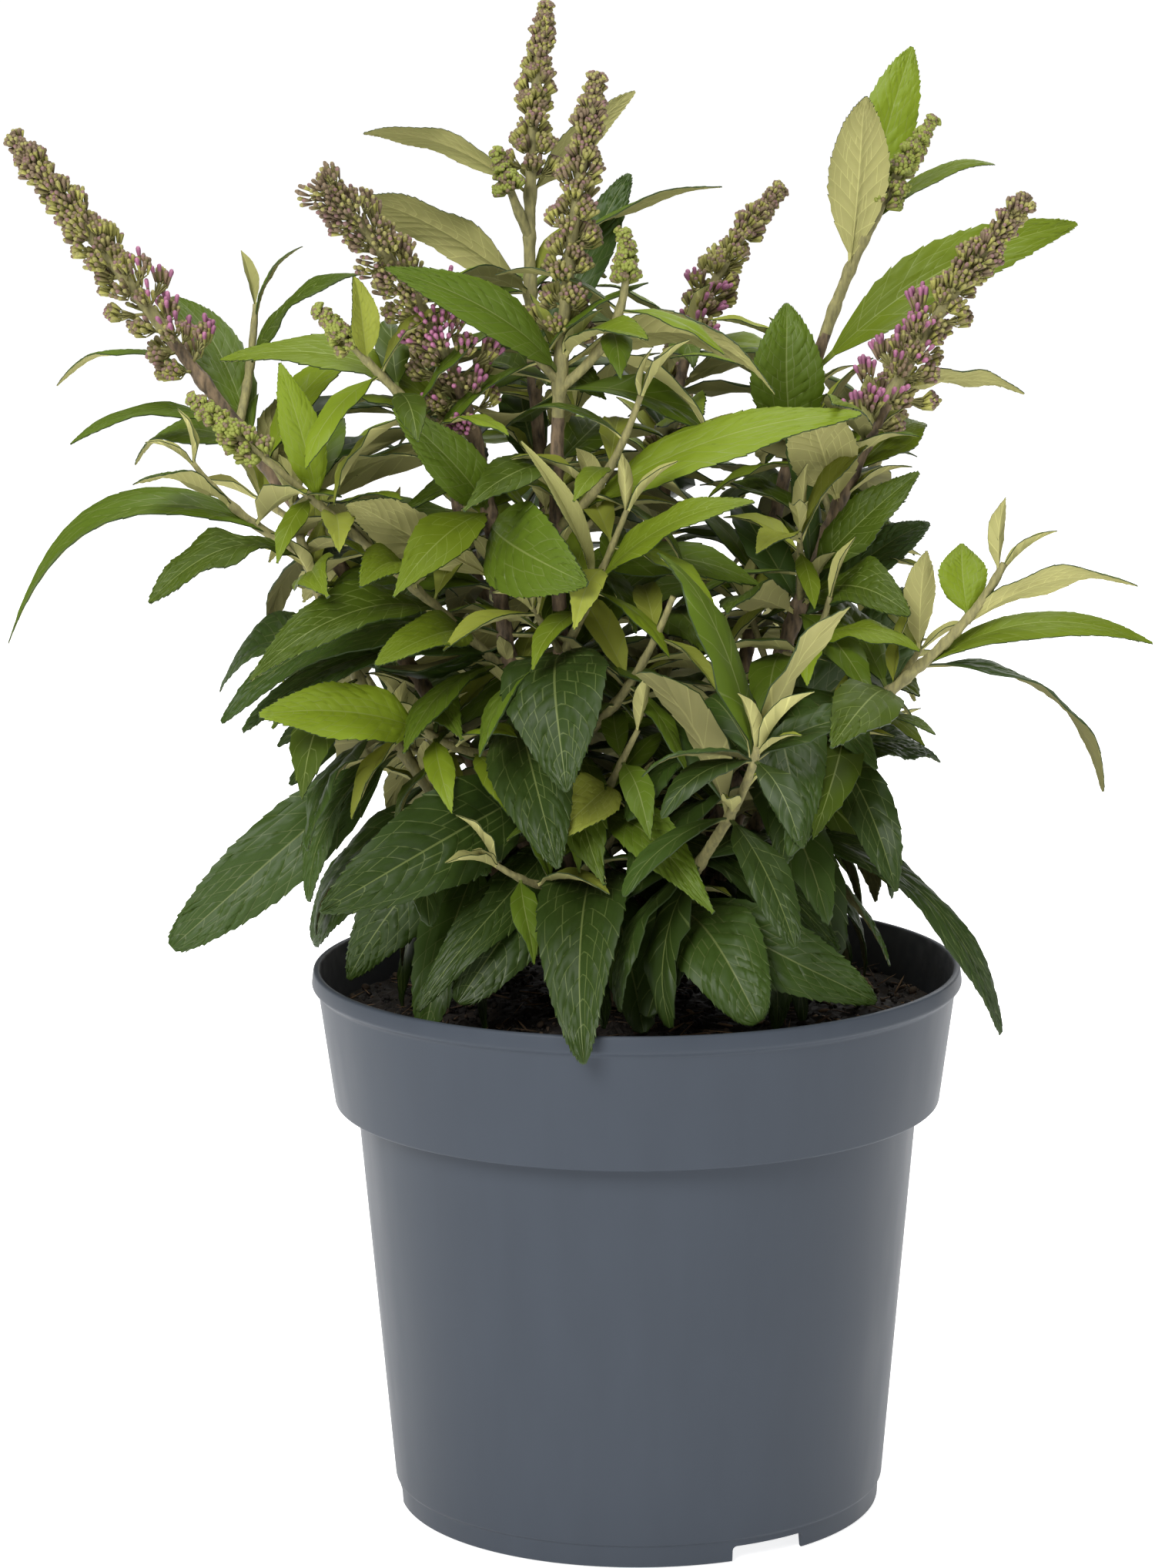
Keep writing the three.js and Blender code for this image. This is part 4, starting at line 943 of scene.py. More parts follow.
class LeafForm:
    """Where the surface of one leaf lies, row by row, for any set of columns."""

    def __init__(self, leaf, draw, looks):
        self.leaf = leaf
        grade = LEAF_GRADES[leaf["kind"]]
        self.looks = looks
        self.rows, self.cell_of, self.phase = leaf_rows(grade["veins"], grade["between"], draw)
        self.chord, self.rise, self.side = blade_frame(leaf)
        self.length = float(np.linalg.norm(self.chord))
        self.size = min(1.0, leaf["wide"] / FORM["full_size"])
        self.u = np.clip((self.rows - STALK) / (1 - STALK), 0, 1)
        least = LEAST_BLUNT.get(leaf["age"], LEAST_BLUNT.get(leaf["kind"], 0.0))
        self.blunt = least + max(least, 0.2) * draw()
        self.aside = either_way(draw, FORM["aside"]) / grade["veins"]
        toothed = (self.u > FORM["toothed"][0]) * (self.u < FORM["toothed"][1])
        tooth = mix(FORM["least_tooth"], 1, np.array([draw() for _ in self.rows]))
        self.tooth = tooth * (np.arange(len(self.rows)) % 2) * toothed
        self.waves = drawn(draw, *FORM["waves"])
        self.swing = drawn(draw, *FORM["swing"]) * self.size
        self.starts = (draw() * 2 * math.pi, draw() * 2 * math.pi)
        folded = leaf["age"] in FOLDS
        self.fold = FOLDS.get(leaf["age"], drawn(draw, *FORM["fold"]))
        self.lop = either_way(draw, FORM["lop"][folded])
        self.curl = drawn(draw, *FORM["curl"]) * (FORM["folded_curl"] if folded else 1)
        self.hook = (draw() - FORM["hook_middle"]) * FORM["hook"] * self.length
        self.twist = math.radians(either_way(draw, FORM["twist"]))
        self.bend = either_way(draw, FORM["bend"]) * self.length

    def surface(self, s, bulge):
        """Corners at the columns s, raised by the bulge of each, with the outward way at each."""
        middle_most = (4 * self.u * (1 - self.u))[:, None]
        t = self.rows[:, None] + VEIN_SLANT * np.abs(s) ** 1.1 * middle_most
        t = t + self.aside * (s < 0) * np.clip((np.abs(s) - 0.02) * 9, 0, 1) * middle_most
        edge = np.zeros(s.shape)
        edge[:, 0] = -self.tooth
        edge[:, -1] = self.tooth
        t = np.clip(t + np.abs(edge) * FORM["tooth_forward"] / self.length, 0, 0.998)
        stalk_half = mix(*FORM["stalk_half"], self.size)
        least_half = np.where(t < FORM["tip_from"], stalk_half, FORM["tip_half"])
        half = np.maximum(self.leaf["wide"] / 2 * fine_share(t, self.blunt), least_half)
        x = s * half + edge * self.looks.tooth / MM * self.size
        start = np.where(s < 0, self.starts[0], self.starts[1])
        wave = np.sin(2 * math.pi * self.waves * t + start) * np.abs(s) ** 2.2 * np.sin(math.pi * t)
        z = np.abs(s) * half * (self.fold + self.lop * np.sign(s)) - self.curl * half * np.abs(s) ** 3
        z = z + self.swing * wave + bulge * (half > 1.5)
        z = z - self.hook * np.clip((t - FORM["hook_from"]) / (1 - FORM["hook_from"]), 0, 1) ** 2
        angle = self.twist * np.clip((t - FORM["twist_from"]) / (1 - FORM["twist_from"]), 0, 1)
        middle = midrib(self.leaf, self.chord, self.rise, t)
        middle = middle + self.side * (self.bend * np.sin(math.pi * t))[..., None]
        ca, sa = np.cos(angle)[..., None], np.sin(angle)[..., None]
        side = self.side * ca + self.rise * sa
        out = self.rise * ca - self.side * sa
        return middle + side * x[..., None] + out * z[..., None], out, t


def leaf_shape(leaf, draw, looks):
    """A leaf's corners, faces and tones: a closed thin blade with a net of veins, teeth and waves."""
    form = LeafForm(leaf, draw, looks)
    grade = LEAF_GRADES[leaf["kind"]]
    half_over = np.array(grade["over"])
    half_under = half_over if leaf.get("face", 0) < 0 else np.array(grade["under"])
    rough = ROUGHNESS_OF.get(leaf["age"], RELIEF["rough"])
    cells, count = grade["veins"], len(form.rows)

    # each place for a cross vein lies somewhere else in each cell, aslant, or holds none
    s = np.tile(np.concatenate([-half_over[::-1], half_over]), (count, 1))
    lifted = np.ones(s.shape)
    middle = len(half_over)
    crossing = {}
    for side in (-1, 1):
        for pair in grade["cross"]:
            columns = [middle + c if side > 0 else middle - 1 - c for c in (pair, pair + 1)]
            for cell in range(cells):
                held = draw() < CROSS_CHANCE
                shift, slant = (either_way(draw, stray) for stray in CROSS_STRAY)
                inside = form.cell_of == cell
                s[np.ix_(inside, columns)] += (side * (shift + slant * form.phase[inside]))[:, None]
                if held:
                    lifted[np.ix_(inside, columns)] = RELIEF["vein"]
                    crossing[cell, min(columns)] = True
    lifted[:, [middle - 1, middle]] = RELIEF["vein"]
    lifted[:, [0, -1]] = RELIEF["margin"]
    relief = looks.relief / MM * form.size * rough
    in_cell = (np.sin(math.pi * form.phase) * (form.cell_of >= 0))[:, None]
    pucker = np.array([[either_way(draw, 1) for _ in range(s.shape[1])] for _ in range(count)])
    pucker = pucker * looks.pucker / MM * form.size * rough * (lifted > 0.5)
    top, out, t = form.surface(s, relief * in_cell * lifted + pucker)

    netted = half_under is half_over
    s_under = s if netted else np.tile(np.concatenate([-half_under[::-1], half_under]), (count, 1))
    under_middle = len(half_under)
    hollow = lifted * RELIEF["netted"] if netted else np.full(s_under.shape, RELIEF["plain_under"])
    below, out, t = form.surface(s_under, relief * in_cell * hollow)
    on_rib = np.abs(s_under) < half_under[0] + 0.01
    rib = on_rib * (1 - t) * mix(RELIEF["small_rib"], 1, form.size)
    ridge = ((form.phase == 0) | (form.phase == 1))[:, None] * RELIEF["ridge"] * form.size
    depth = looks.blade / MM * (0.5 + 0.5 * form.size) + rib + ridge
    below = below - out * depth[..., None]

    over, under = s.shape[1], s_under.shape[1]
    ring = over + under
    vertices = np.concatenate([top, below[:, ::-1]], 1).reshape(-1, 3)
    age = AGES.index(leaf["age"]) * LEAF_TONES
    margin = len(AGES) * LEAF_TONES + FELT_TONES
    felt = margin - (FELT_TONES // 2 if leaf["age"] == "old" else FELT_TONES)
    own_tone = int(draw() * TONES)
    faces, tones = [], []
    for i in range(count - 1):
        cell = form.cell_of[i]
        vein = cell < 0 or form.phase[i] == 1
        for j in range(ring):
            a = i * ring + j
            b = i * ring + (j + 1) % ring
            faces.append((a, b, b + ring, a + ring))
            if j < over - 1:
                if j == middle - 1:
                    tone = age + TONES + 1
                elif vein or (cell, j) in crossing:
                    tone = age + TONES
                else:
                    tone = age + own_tone
            elif j == over - 1 or j == ring - 1:
                tone = margin
            else:
                place = ring - 2 - j
                veined = vein or place == under_middle - 1 or netted and (cell, place) in crossing
                tone = felt + 1 if veined else felt
            tones.append(tone)
    faces.append(tuple(range(ring))[::-1])
    tones.append(felt + 1)
    last = (count - 1) * ring
    faces.append(tuple(range(last, last + ring)))
    tones.append(margin)
    return vertices, faces, tones


BUD_RINGS = ((0.0, 0.34), (0.5, 0.78), (0.8, 1.0), (0.96, 0.62))
TUBE_RINGS = ((0.0, 0.42), (0.3, 0.6), (0.56, 0.7), (0.78, 0.98), (0.9, 0.95), (0.98, 0.55))
STALK_RINGS = ((0.0, 1.0), (0.8, 0.75))


def club(rings, sides, split):
    """Corners, faces and tones of a club along +X of unit length and width: tone 1 past the split."""
    vertices, faces, tones = [], [], []
    for x, r in rings:
        for k in range(sides):
            a = 2 * math.pi * k / sides
            vertices.append((x, 0.5 * r * math.cos(a), 0.5 * r * math.sin(a)))
    tip = len(vertices)
    vertices.append((1.0, 0.0, 0.0))
    for i in range(len(rings) - 1):
        for k in range(sides):
            a, b = i * sides + k, i * sides + (k + 1) % sides
            faces.append((a, b, b + sides, a + sides))
            tones.append(int(rings[i][0] >= split))
    base = (len(rings) - 1) * sides
    for k in range(sides):
        faces.append((base + k, base + (k + 1) % sides, tip))
        tones.append(1)
    faces.append(tuple(range(sides))[::-1])
    tones.append(0)
    return np.array(vertices), faces, tones


def placed(shape, root, way, length, width, turn):
    """A club's corners from its root in a direction."""
    side = unit(np.cross(way, (0.31, 0.17, 0.93)))
    up = np.cross(side, way)
    c, s = math.cos(turn), math.sin(turn)
    side, up = side * c + up * s, up * c - side * s
    return root + shape[:, :1] * way * length + shape[:, 1:2] * side * width + shape[:, 2:] * up * width


BUD = club(BUD_RINGS, 5, 0.8)
TUBE = club(TUBE_RINGS, 6, 0.56)
BUD_STALK = club(STALK_RINGS, 3, 2)

# The order of a spike's materials, after the first three, which are those of a calyx.
CALYX_TONES = 3
BROWN_TIP, MAUVE_TIP, GREEN_TIP = 3, 4, 5
FLOWER_TONES = (6, 7)
STALK_TONE, MAUVE_TONE, LIME_TONE = 8, 9, 10

GOLDEN_TURN = 2.4  # radians from one bud to the next in a fan

# One cluster: shares of its reach for its stalk and its fan, the fan's greatest width in mm, how its
# buds aim (outwards, across and up the spike), their least size and what a draw adds, the widths of its
# stalks in mm, how much longer an open flower is, and the chances of a calyx in the cluster's own tone,
# of a lime bud on a green spike, and of a brown or a mauve tip.
CYME = {
    "long": (0.82, 0.34), "stalk": 0.36, "fan": 0.27, "fan_most": 2.6, "dome": 0.45,
    "aim": (0.8, 0.5, 0.6), "stalk_wide": 1.3, "link_wide": 0.7, "link_from": 1.2, "open_longer": 1.5,
    "own_tone": 0.6, "lime": 0.7, "brown_tip": 0.5, "mauve_tip": 0.68,
}

# A spike from its foot to its tip: its width as a share of its girth, the lift of its clusters, the
# step from whorl to whorl, how far a cluster strays, and the width of its buds; the buds of a main and
# of a lesser cluster and how far each reaches; where its tips turn brown; and the buds that cap it.
# A spread is a width that a draw lies in, or the least share and what a draw adds. Lengths are in mm.
SPIKE = {
    "foot": 1.24, "green_foot": 0.95, "tip": 0.34, "blunt_tip": 0.7, "least_reach": 2.5,
    "lift": (20, 46), "step": (8.2, 2.4), "step_most": 0.7, "stray": (3.4, 1.5), "stray_most": 0.4,
    "width": (1.55, 1.35), "buds": (18, 12), "fewer_at_tip": 0.45, "far": (1.1, 0.76),
    "loose_from": 5.5, "knob": 0.64, "least_brown": 0.08, "most_brown": 0.75, "brown_from": 0.45,
    "cap_buds": 34, "cap_spread": 100, "cap_long": (2.125, 0.75), "cap_wide": 1.25, "turn_spread": 0.5,
    "whorl_spread": 0.16, "lift_spread": 16, "far_spread": (0.84, 0.32), "bud_spread": (0.8, 0.4),
    "step_spread": (0.88, 0.24),
}


def cyme(gather, at, way, reach, count, knob, width, bloom, brown, draw, green):
    """One cluster: a stalk that carries a fan of buds, all turned partly towards the spike's tip."""
    stalk = reach * CYME["stalk"]
    hub = at["at"] + way * stalk
    stalk_tones = [STALK_TONE] * len(BUD_STALK[1])
    gather.add(placed(BUD_STALK[0], at["at"], way, stalk + 0.8, CYME["stalk_wide"], 0), BUD_STALK[1],
               stalk_tones)
    aim_out, aim_across, aim_up = CYME["aim"]
    fan = min(reach * CYME["fan"], CYME["fan_most"])
    sideways = unit(np.cross(way, at["along"]))
    upward = np.cross(sideways, way)
    own = int(draw() * CALYX_TONES)
    for n in range(count):
        ring = math.sqrt((n + 0.5) / count)
        spin = n * GOLDEN_TURN + own
        across = (sideways * math.cos(spin) + upward * 0.8 * math.sin(spin)) * ring
        aim = unit(way * aim_out + across * aim_across + at["along"] * aim_up)
        long = knob * drawn(draw, *CYME["long"])
        root = hub + across * fan + way * (reach - stalk - 0.75 * long) * (1 - CYME["dome"] * ring)
        foot = hub - way * 0.4
        link = root - foot
        gap = float(np.linalg.norm(link))
        if gap > CYME["link_from"]:
            gather.add(placed(BUD_STALK[0], foot, link / gap, gap + 0.3, CYME["link_wide"], 0),
                       BUD_STALK[1], stalk_tones)
        opened = draw() < bloom
        shape = TUBE if opened else BUD
        calyx = own if draw() < CYME["own_tone"] else int(draw() * CALYX_TONES)
        if draw() < bloom:
            calyx = MAUVE_TONE
        elif draw() < brown:
            calyx = BROWN_TIP
        if opened:
            tip = FLOWER_TONES[int(draw() * 2)]
            long *= CYME["open_longer"]
        elif green:
            calyx = LIME_TONE if draw() < CYME["lime"] else calyx
            tip = LIME_TONE if draw() < CYME["lime"] else BROWN_TIP
        else:
            kind = draw()
            tip = GREEN_TIP
            if kind < CYME["mauve_tip"]:
                tip = BROWN_TIP if kind < CYME["brown_tip"] else MAUVE_TIP
        tones = [tip if mark else calyx for mark in shape[2]]
        gather.add(placed(shape[0], root, aim, long, width, draw() * 6), shape[1], tones)


def spike_shape(gather, path, start, girth, length, flowering, draw, looks, green, blunt):
    """All the buds of one flower spike: whorls of clusters, loose at the foot and tight at the tip."""
    bud_length = looks.bud / MM
    foot = SPIKE["green_foot" if green else "foot"]
    tip = SPIKE["blunt_tip" if blunt else "tip"]
    share = 0.02
    turn = draw() * math.pi
    while share < 0.97:
        t = mix(start, 1, share)
        at = path.frame(t)
        reach = max(girth * mix(foot, tip, share ** 0.95), SPIKE["least_reach"])
        clusters = 4 if reach > SPIKE["loose_from"] else 5
        knob = min(bud_length, reach * SPIKE["knob"])
        rise = SPIKE["most_brown"] * (share - SPIKE["brown_from"]) / (1 - SPIKE["brown_from"])
        brown = 0.0 if green else max(SPIKE["least_brown"], rise)
        stray = min(mix(*SPIKE["stray"], share), SPIKE["stray_most"] * reach)
        fewer = mix(1, SPIKE["fewer_at_tip"], share)
        for c in range(clusters):
            out = turn + c * 2 * math.pi / clusters + either_way(draw, SPIKE["turn_spread"])
            lift = math.radians(mix(*SPIKE["lift"], share) + either_way(draw, SPIKE["lift_spread"]))
            way = out_of(at, out, lift)
            far = reach * SPIKE["far"][c % 2] * drawn(draw, *SPIKE["far_spread"])
            count = max(4, round(SPIKE["buds"][c % 2] * fewer * drawn(draw, *SPIKE["bud_spread"])))
            place = dict(at)
            place["at"] = at["at"] + at["along"] * (draw() - 0.5) * stray
            cyme(gather, place, way, far, count, knob, mix(*SPIKE["width"], share), flowering(share, way),
                 brown, draw, green)
        turn += math.pi / clusters + either_way(draw, SPIKE["whorl_spread"])
        step = min(mix(*SPIKE["step"], share ** 0.7), SPIKE["step_most"] * reach)
        share += step * drawn(draw, *SPIKE["step_spread"]) / length
    top = path.frame(1)
    for n in range(SPIKE["cap_buds"]):
        spread = math.radians(SPIKE["cap_spread"]) * math.sqrt((n + 0.5) / SPIKE["cap_buds"])
        aim = out_of(top, n * GOLDEN_TURN, math.pi / 2 - spread)
        root = top["at"] - top["along"] * (2.6 + 2.4 * (1 - math.cos(spread))) - aim * 0.3
        tones = [BROWN_TIP if mark else int(draw() * CALYX_TONES) for mark in BUD[2]]
        gather.add(placed(BUD[0], root, aim, drawn(draw, *SPIKE["cap_long"]), SPIKE["cap_wide"], 0),
                   BUD[1], tones)


# ---------------------------------------------------------------- modelling by operators


def select_only(*pieces):
    """Selects these and nothing else."""
    bpy.ops.object.select_all(action="DESELECT")
    for piece in pieces:
        piece.select_set(True)
    bpy.context.view_layer.objects.active = pieces[0]


def settle(piece, name):
    """Names a piece and puts its place into its mesh."""
    select_only(piece)
    bpy.ops.object.transform_apply(location=True, rotation=True, scale=True)
    piece.name = name
    piece.data.name = name
    return piece


def add_modifier(piece, kind, **values):
    """Adds a modifier with its values and applies it."""
    select_only(piece)
    modifier = piece.modifiers.new(kind.title(), kind)
    for key, value in values.items():
        setattr(modifier, key, value)
    bpy.ops.object.modifier_apply(modifier=modifier.name)


def rounded(points, radius, steps=3):
    """A profile with each corner between its ends replaced by a small arc."""
    out = [points[0]]
    for before, corner, after in zip(points[:-2], points[1:-1], points[2:]):
        before, corner, after = (np.array(p, float) for p in (before, corner, after))
        cut = min(radius, np.linalg.norm(before - corner) * 0.45, np.linalg.norm(after - corner) * 0.45)
        a = corner + unit(before - corner) * cut
        b = corner + unit(after - corner) * cut
        for k in range(steps + 1):
            t = k / steps
            out.append(tuple(a * (1 - t) ** 2 + corner * 2 * t * (1 - t) + b * t ** 2))
    out.append(points[-1])
    return out


def lathe(name, profile, segments, closed=True):
    """A turned shape: a circle that is extruded and resized ring by ring, from the axis outwards."""
    rest = profile[1:]
    r1, z1 = rest[0]
    bpy.ops.object.select_all(action="DESELECT")
    bpy.ops.mesh.primitive_circle_add(vertices=segments, radius=r1 * MM, fill_type="TRIFAN",
                                      location=(0, 0, z1 * MM))
    piece = bpy.context.active_object
    settle(piece, name)
    bpy.ops.object.mode_set(mode="EDIT")
    bpy.ops.mesh.select_mode(type="EDGE")
    bpy.ops.mesh.select_all(action="DESELECT")
    bpy.ops.mesh.select_non_manifold()
    last = (r1, z1)
    for r, z in rest[1:-1] if closed else rest[1:]:
        bpy.ops.mesh.extrude_region_move(TRANSFORM_OT_translate={"value": (0, 0, (z - last[1]) * MM)})
        grow = r / last[0]
        bpy.ops.transform.resize(value=(grow, grow, 1), center_override=(0, 0, z * MM))
        last = (r, z)
    if closed:
        to_axis = (profile[-1][1] - last[1]) * MM
        bpy.ops.mesh.extrude_region_move(TRANSFORM_OT_translate={"value": (0, 0, to_axis)})
        bpy.ops.mesh.merge(type="CENTER")
    bpy.ops.mesh.select_all(action="SELECT")
    bpy.ops.mesh.normals_make_consistent(inside=False)
    bpy.ops.object.mode_set(mode="OBJECT")
    return piece


def cut_with(piece, cutter):
    """Cuts one piece by another, which is then removed."""
    add_modifier(piece, "BOOLEAN", operation="DIFFERENCE", object=cutter, solver="EXACT")
    bpy.data.objects.remove(cutter)


def cloud(name, size, depth=2):
    """A procedural texture for a displacement."""
    texture = bpy.data.textures.new(name, "CLOUDS")
    texture.noise_scale = size
    texture.noise_depth = depth
    return texture


# ---------------------------------------------------------------- materials


def node_group(name, inputs, outputs):
    """An empty shader group with named sockets."""
    group = bpy.data.node_groups.new(name, "ShaderNodeTree")
    for label, kind, value in inputs:
        socket = group.interface.new_socket(name=label, in_out="INPUT", socket_type=kind)
        if value is not None:
            socket.default_value = value
    for label, kind in outputs:
        group.interface.new_socket(name=label, in_out="OUTPUT", socket_type=kind)
    enter = group.nodes.new("NodeGroupInput")
    leave = group.nodes.new("NodeGroupOutput")
    return group, enter, leave


def join_nodes(links, pairs):
    """Links an output of one node to an input of another, for each line."""
    for source, output, target, entry in pairs:
        links.new(source.outputs[output], target.inputs[entry])


def grain_group():
    """A noise and a bump, for plastic, peat and bark: a mask and a normal."""
    sockets = [("Scale", "NodeSocketFloat", 200.0), ("Stretch", "NodeSocketVector", (1.0, 1.0, 1.0)),
               ("Contrast", "NodeSocketFloat", 0.5), ("Depth", "NodeSocketFloat", 0.2)]
    results = [("Mask", "NodeSocketFloat"), ("Normal", "NodeSocketVector")]
    group, enter, leave = node_group("Grain", sockets, results)
    nodes = group.nodes
    place = nodes.new("ShaderNodeTexCoord")
    stretch = nodes.new("ShaderNodeVectorMath")
    stretch.operation = "MULTIPLY"
    noise = nodes.new("ShaderNodeTexNoise")
    noise.inputs["Detail"].default_value = 5
    lift = nodes.new("ShaderNodeMath")
    lift.operation = "SUBTRACT"
    lift.inputs[1].default_value = 0.5
    spread = nodes.new("ShaderNodeMath")
    spread.operation = "MULTIPLY_ADD"
    spread.inputs[2].default_value = 0.5
    spread.use_clamp = True
    bump = nodes.new("ShaderNodeBump")
    bump.inputs["Distance"].default_value = 0.0005
    join_nodes(group.links, (
        (place, "Object", stretch, 0),
        (enter, "Stretch", stretch, 1),
        (stretch, 0, noise, "Vector"),
        (enter, "Scale", noise, "Scale"),
        (noise, "Fac", lift, 0),
        (lift, 0, spread, 0),
        (enter, "Contrast", spread, 1),
        (enter, "Depth", bump, "Strength"),
        (noise, "Fac", bump, "Height"),
        (spread, 0, leave, "Mask"),
        (bump, "Normal", leave, "Normal"),
    ))
    return group


LEAF_GLOW = 0.06  # share of the light that passes through a leaf
LEAF_GLOW_REACH = (0.0006, 0.0009, 0.0003)  # how far red, green and blue light goes in a leaf, in metres


def shared_grain():
    """The grain group, built once."""
    return bpy.data.node_groups.get("Grain") or grain_group()


def plain_material(name, colour, roughness, specular=0.5, subsurface=0.0):
    """A material of one plain colour."""
    material = bpy.data.materials.new(name)
    material.use_nodes = True
    shader = material.node_tree.nodes["Principled BSDF"]
    for label, value in (
        ("Base Color", (*colour, 1)),
        ("Roughness", roughness),
        ("Specular IOR Level", specular),
        ("Subsurface Weight", subsurface),
        ("Subsurface Radius", LEAF_GLOW_REACH),
        ("Subsurface Scale", 1.0),
    ):
        shader.inputs[label].default_value = value
    return material


def grained_material(name, dark, light, roughness, scale, stretch=(1, 1, 1), contrast=2.0, depth=0.3,
                     specular=0.5):
    """A material whose colour and roughness vary with the grain."""
    material = bpy.data.materials.new(name)
    material.use_nodes = True
    nodes, links = material.node_tree.nodes, material.node_tree.links
    shader = nodes["Principled BSDF"]
    shader.inputs["Specular IOR Level"].default_value = specular
    grain = nodes.new("ShaderNodeGroup")
    grain.node_tree = shared_grain()
    for label, value in (("Scale", scale), ("Stretch", stretch), ("Contrast", contrast), ("Depth", depth)):
        grain.inputs[label].default_value = value
    colour = nodes.new("ShaderNodeMix")
    colour.data_type = "RGBA"
    colour.inputs["A"].default_value = (*dark, 1)
    colour.inputs["B"].default_value = (*light, 1)
    rough = nodes.new("ShaderNodeMapRange")
    rough.inputs["To Min"].default_value = roughness[0]
    rough.inputs["To Max"].default_value = roughness[1]
    join_nodes(links, (
        (grain, "Mask", colour, "Factor"),
        (colour, "Result", shader, "Base Color"),
        (grain, "Mask", rough, "Value"),
        (rough, "Result", shader, "Roughness"),
        (grain, "Normal", shader, "Normal"),
    ))
    return material


def shade(colour, by):
    """A colour made lighter or darker."""
    return tuple(min(1.0, c * by) for c in colour)


def toward(colour, other, share):
    """A colour mixed with another."""
    return tuple(mix(a, b, share) for a, b in zip(colour, other))


def leaf_materials(colours):
    """Two greens, a vein colour and a rib colour for each age of leaf, then felt and the margin."""
    felted = shade(toward(colours.leaf_young, colours.under, 0.8), 0.88)
    # by age: colour, how dark its deeper tone is, roughness, how pale its veins are, and shine
    tops = {
        "old": (colours.leaf_old, 0.82, 0.47, 0.1, 0.2),
        "grown": (colours.leaf_grown, 0.82, 0.5, 0.12, 0.14),
        "bright": (colours.leaf_bright, 0.95, 0.52, 0.1, 0.14),
        "young": (colours.leaf_young, 0.95, 0.62, 0.12, 0.14),
        "tip": (felted, 0.95, 0.8, 0.15, 0.12),
    }
    made = []
    for age in AGES:
        colour, deep, roughness, vein, shine = tops[age]
        for label, tone, specular, glow in (
            ("", shade(colour, deep), shine, LEAF_GLOW),
            ("_light", shade(colour, 1.22), shine, LEAF_GLOW),
            ("_vein", toward(colour, colours.vein, vein), 0.3, 0),
            ("_rib", toward(colour, colours.vein, 2 * vein), 0.3, 0),
        ):
            made.append(plain_material(f"leaf_{age}{label}", tone, roughness, specular, glow))
    for label, light in (("", 1.0), ("_shaded", 0.5)):
        felt = shade(colours.under, light)
        made.append(plain_material(f"leaf_under{label}", felt, 0.85, 0.15, LEAF_GLOW))
        made.append(plain_material(f"leaf_under_vein{label}", shade(felt, 1.3), 0.85, 0.15))
    made.append(plain_material("leaf_margin", shade(colours.leaf_old, 0.8), 0.6, 0.3))
    return made


# ---------------------------------------------------------------- operators

BUSH = {}


def the_bush():
    """The plant's places, worked out once."""
    if "bush" not in BUSH:
        BUSH["bush"] = Bush()
        BUSH["leaf"] = leaf_materials(bpy.context.scene.bush_colours)
    return BUSH["bush"]


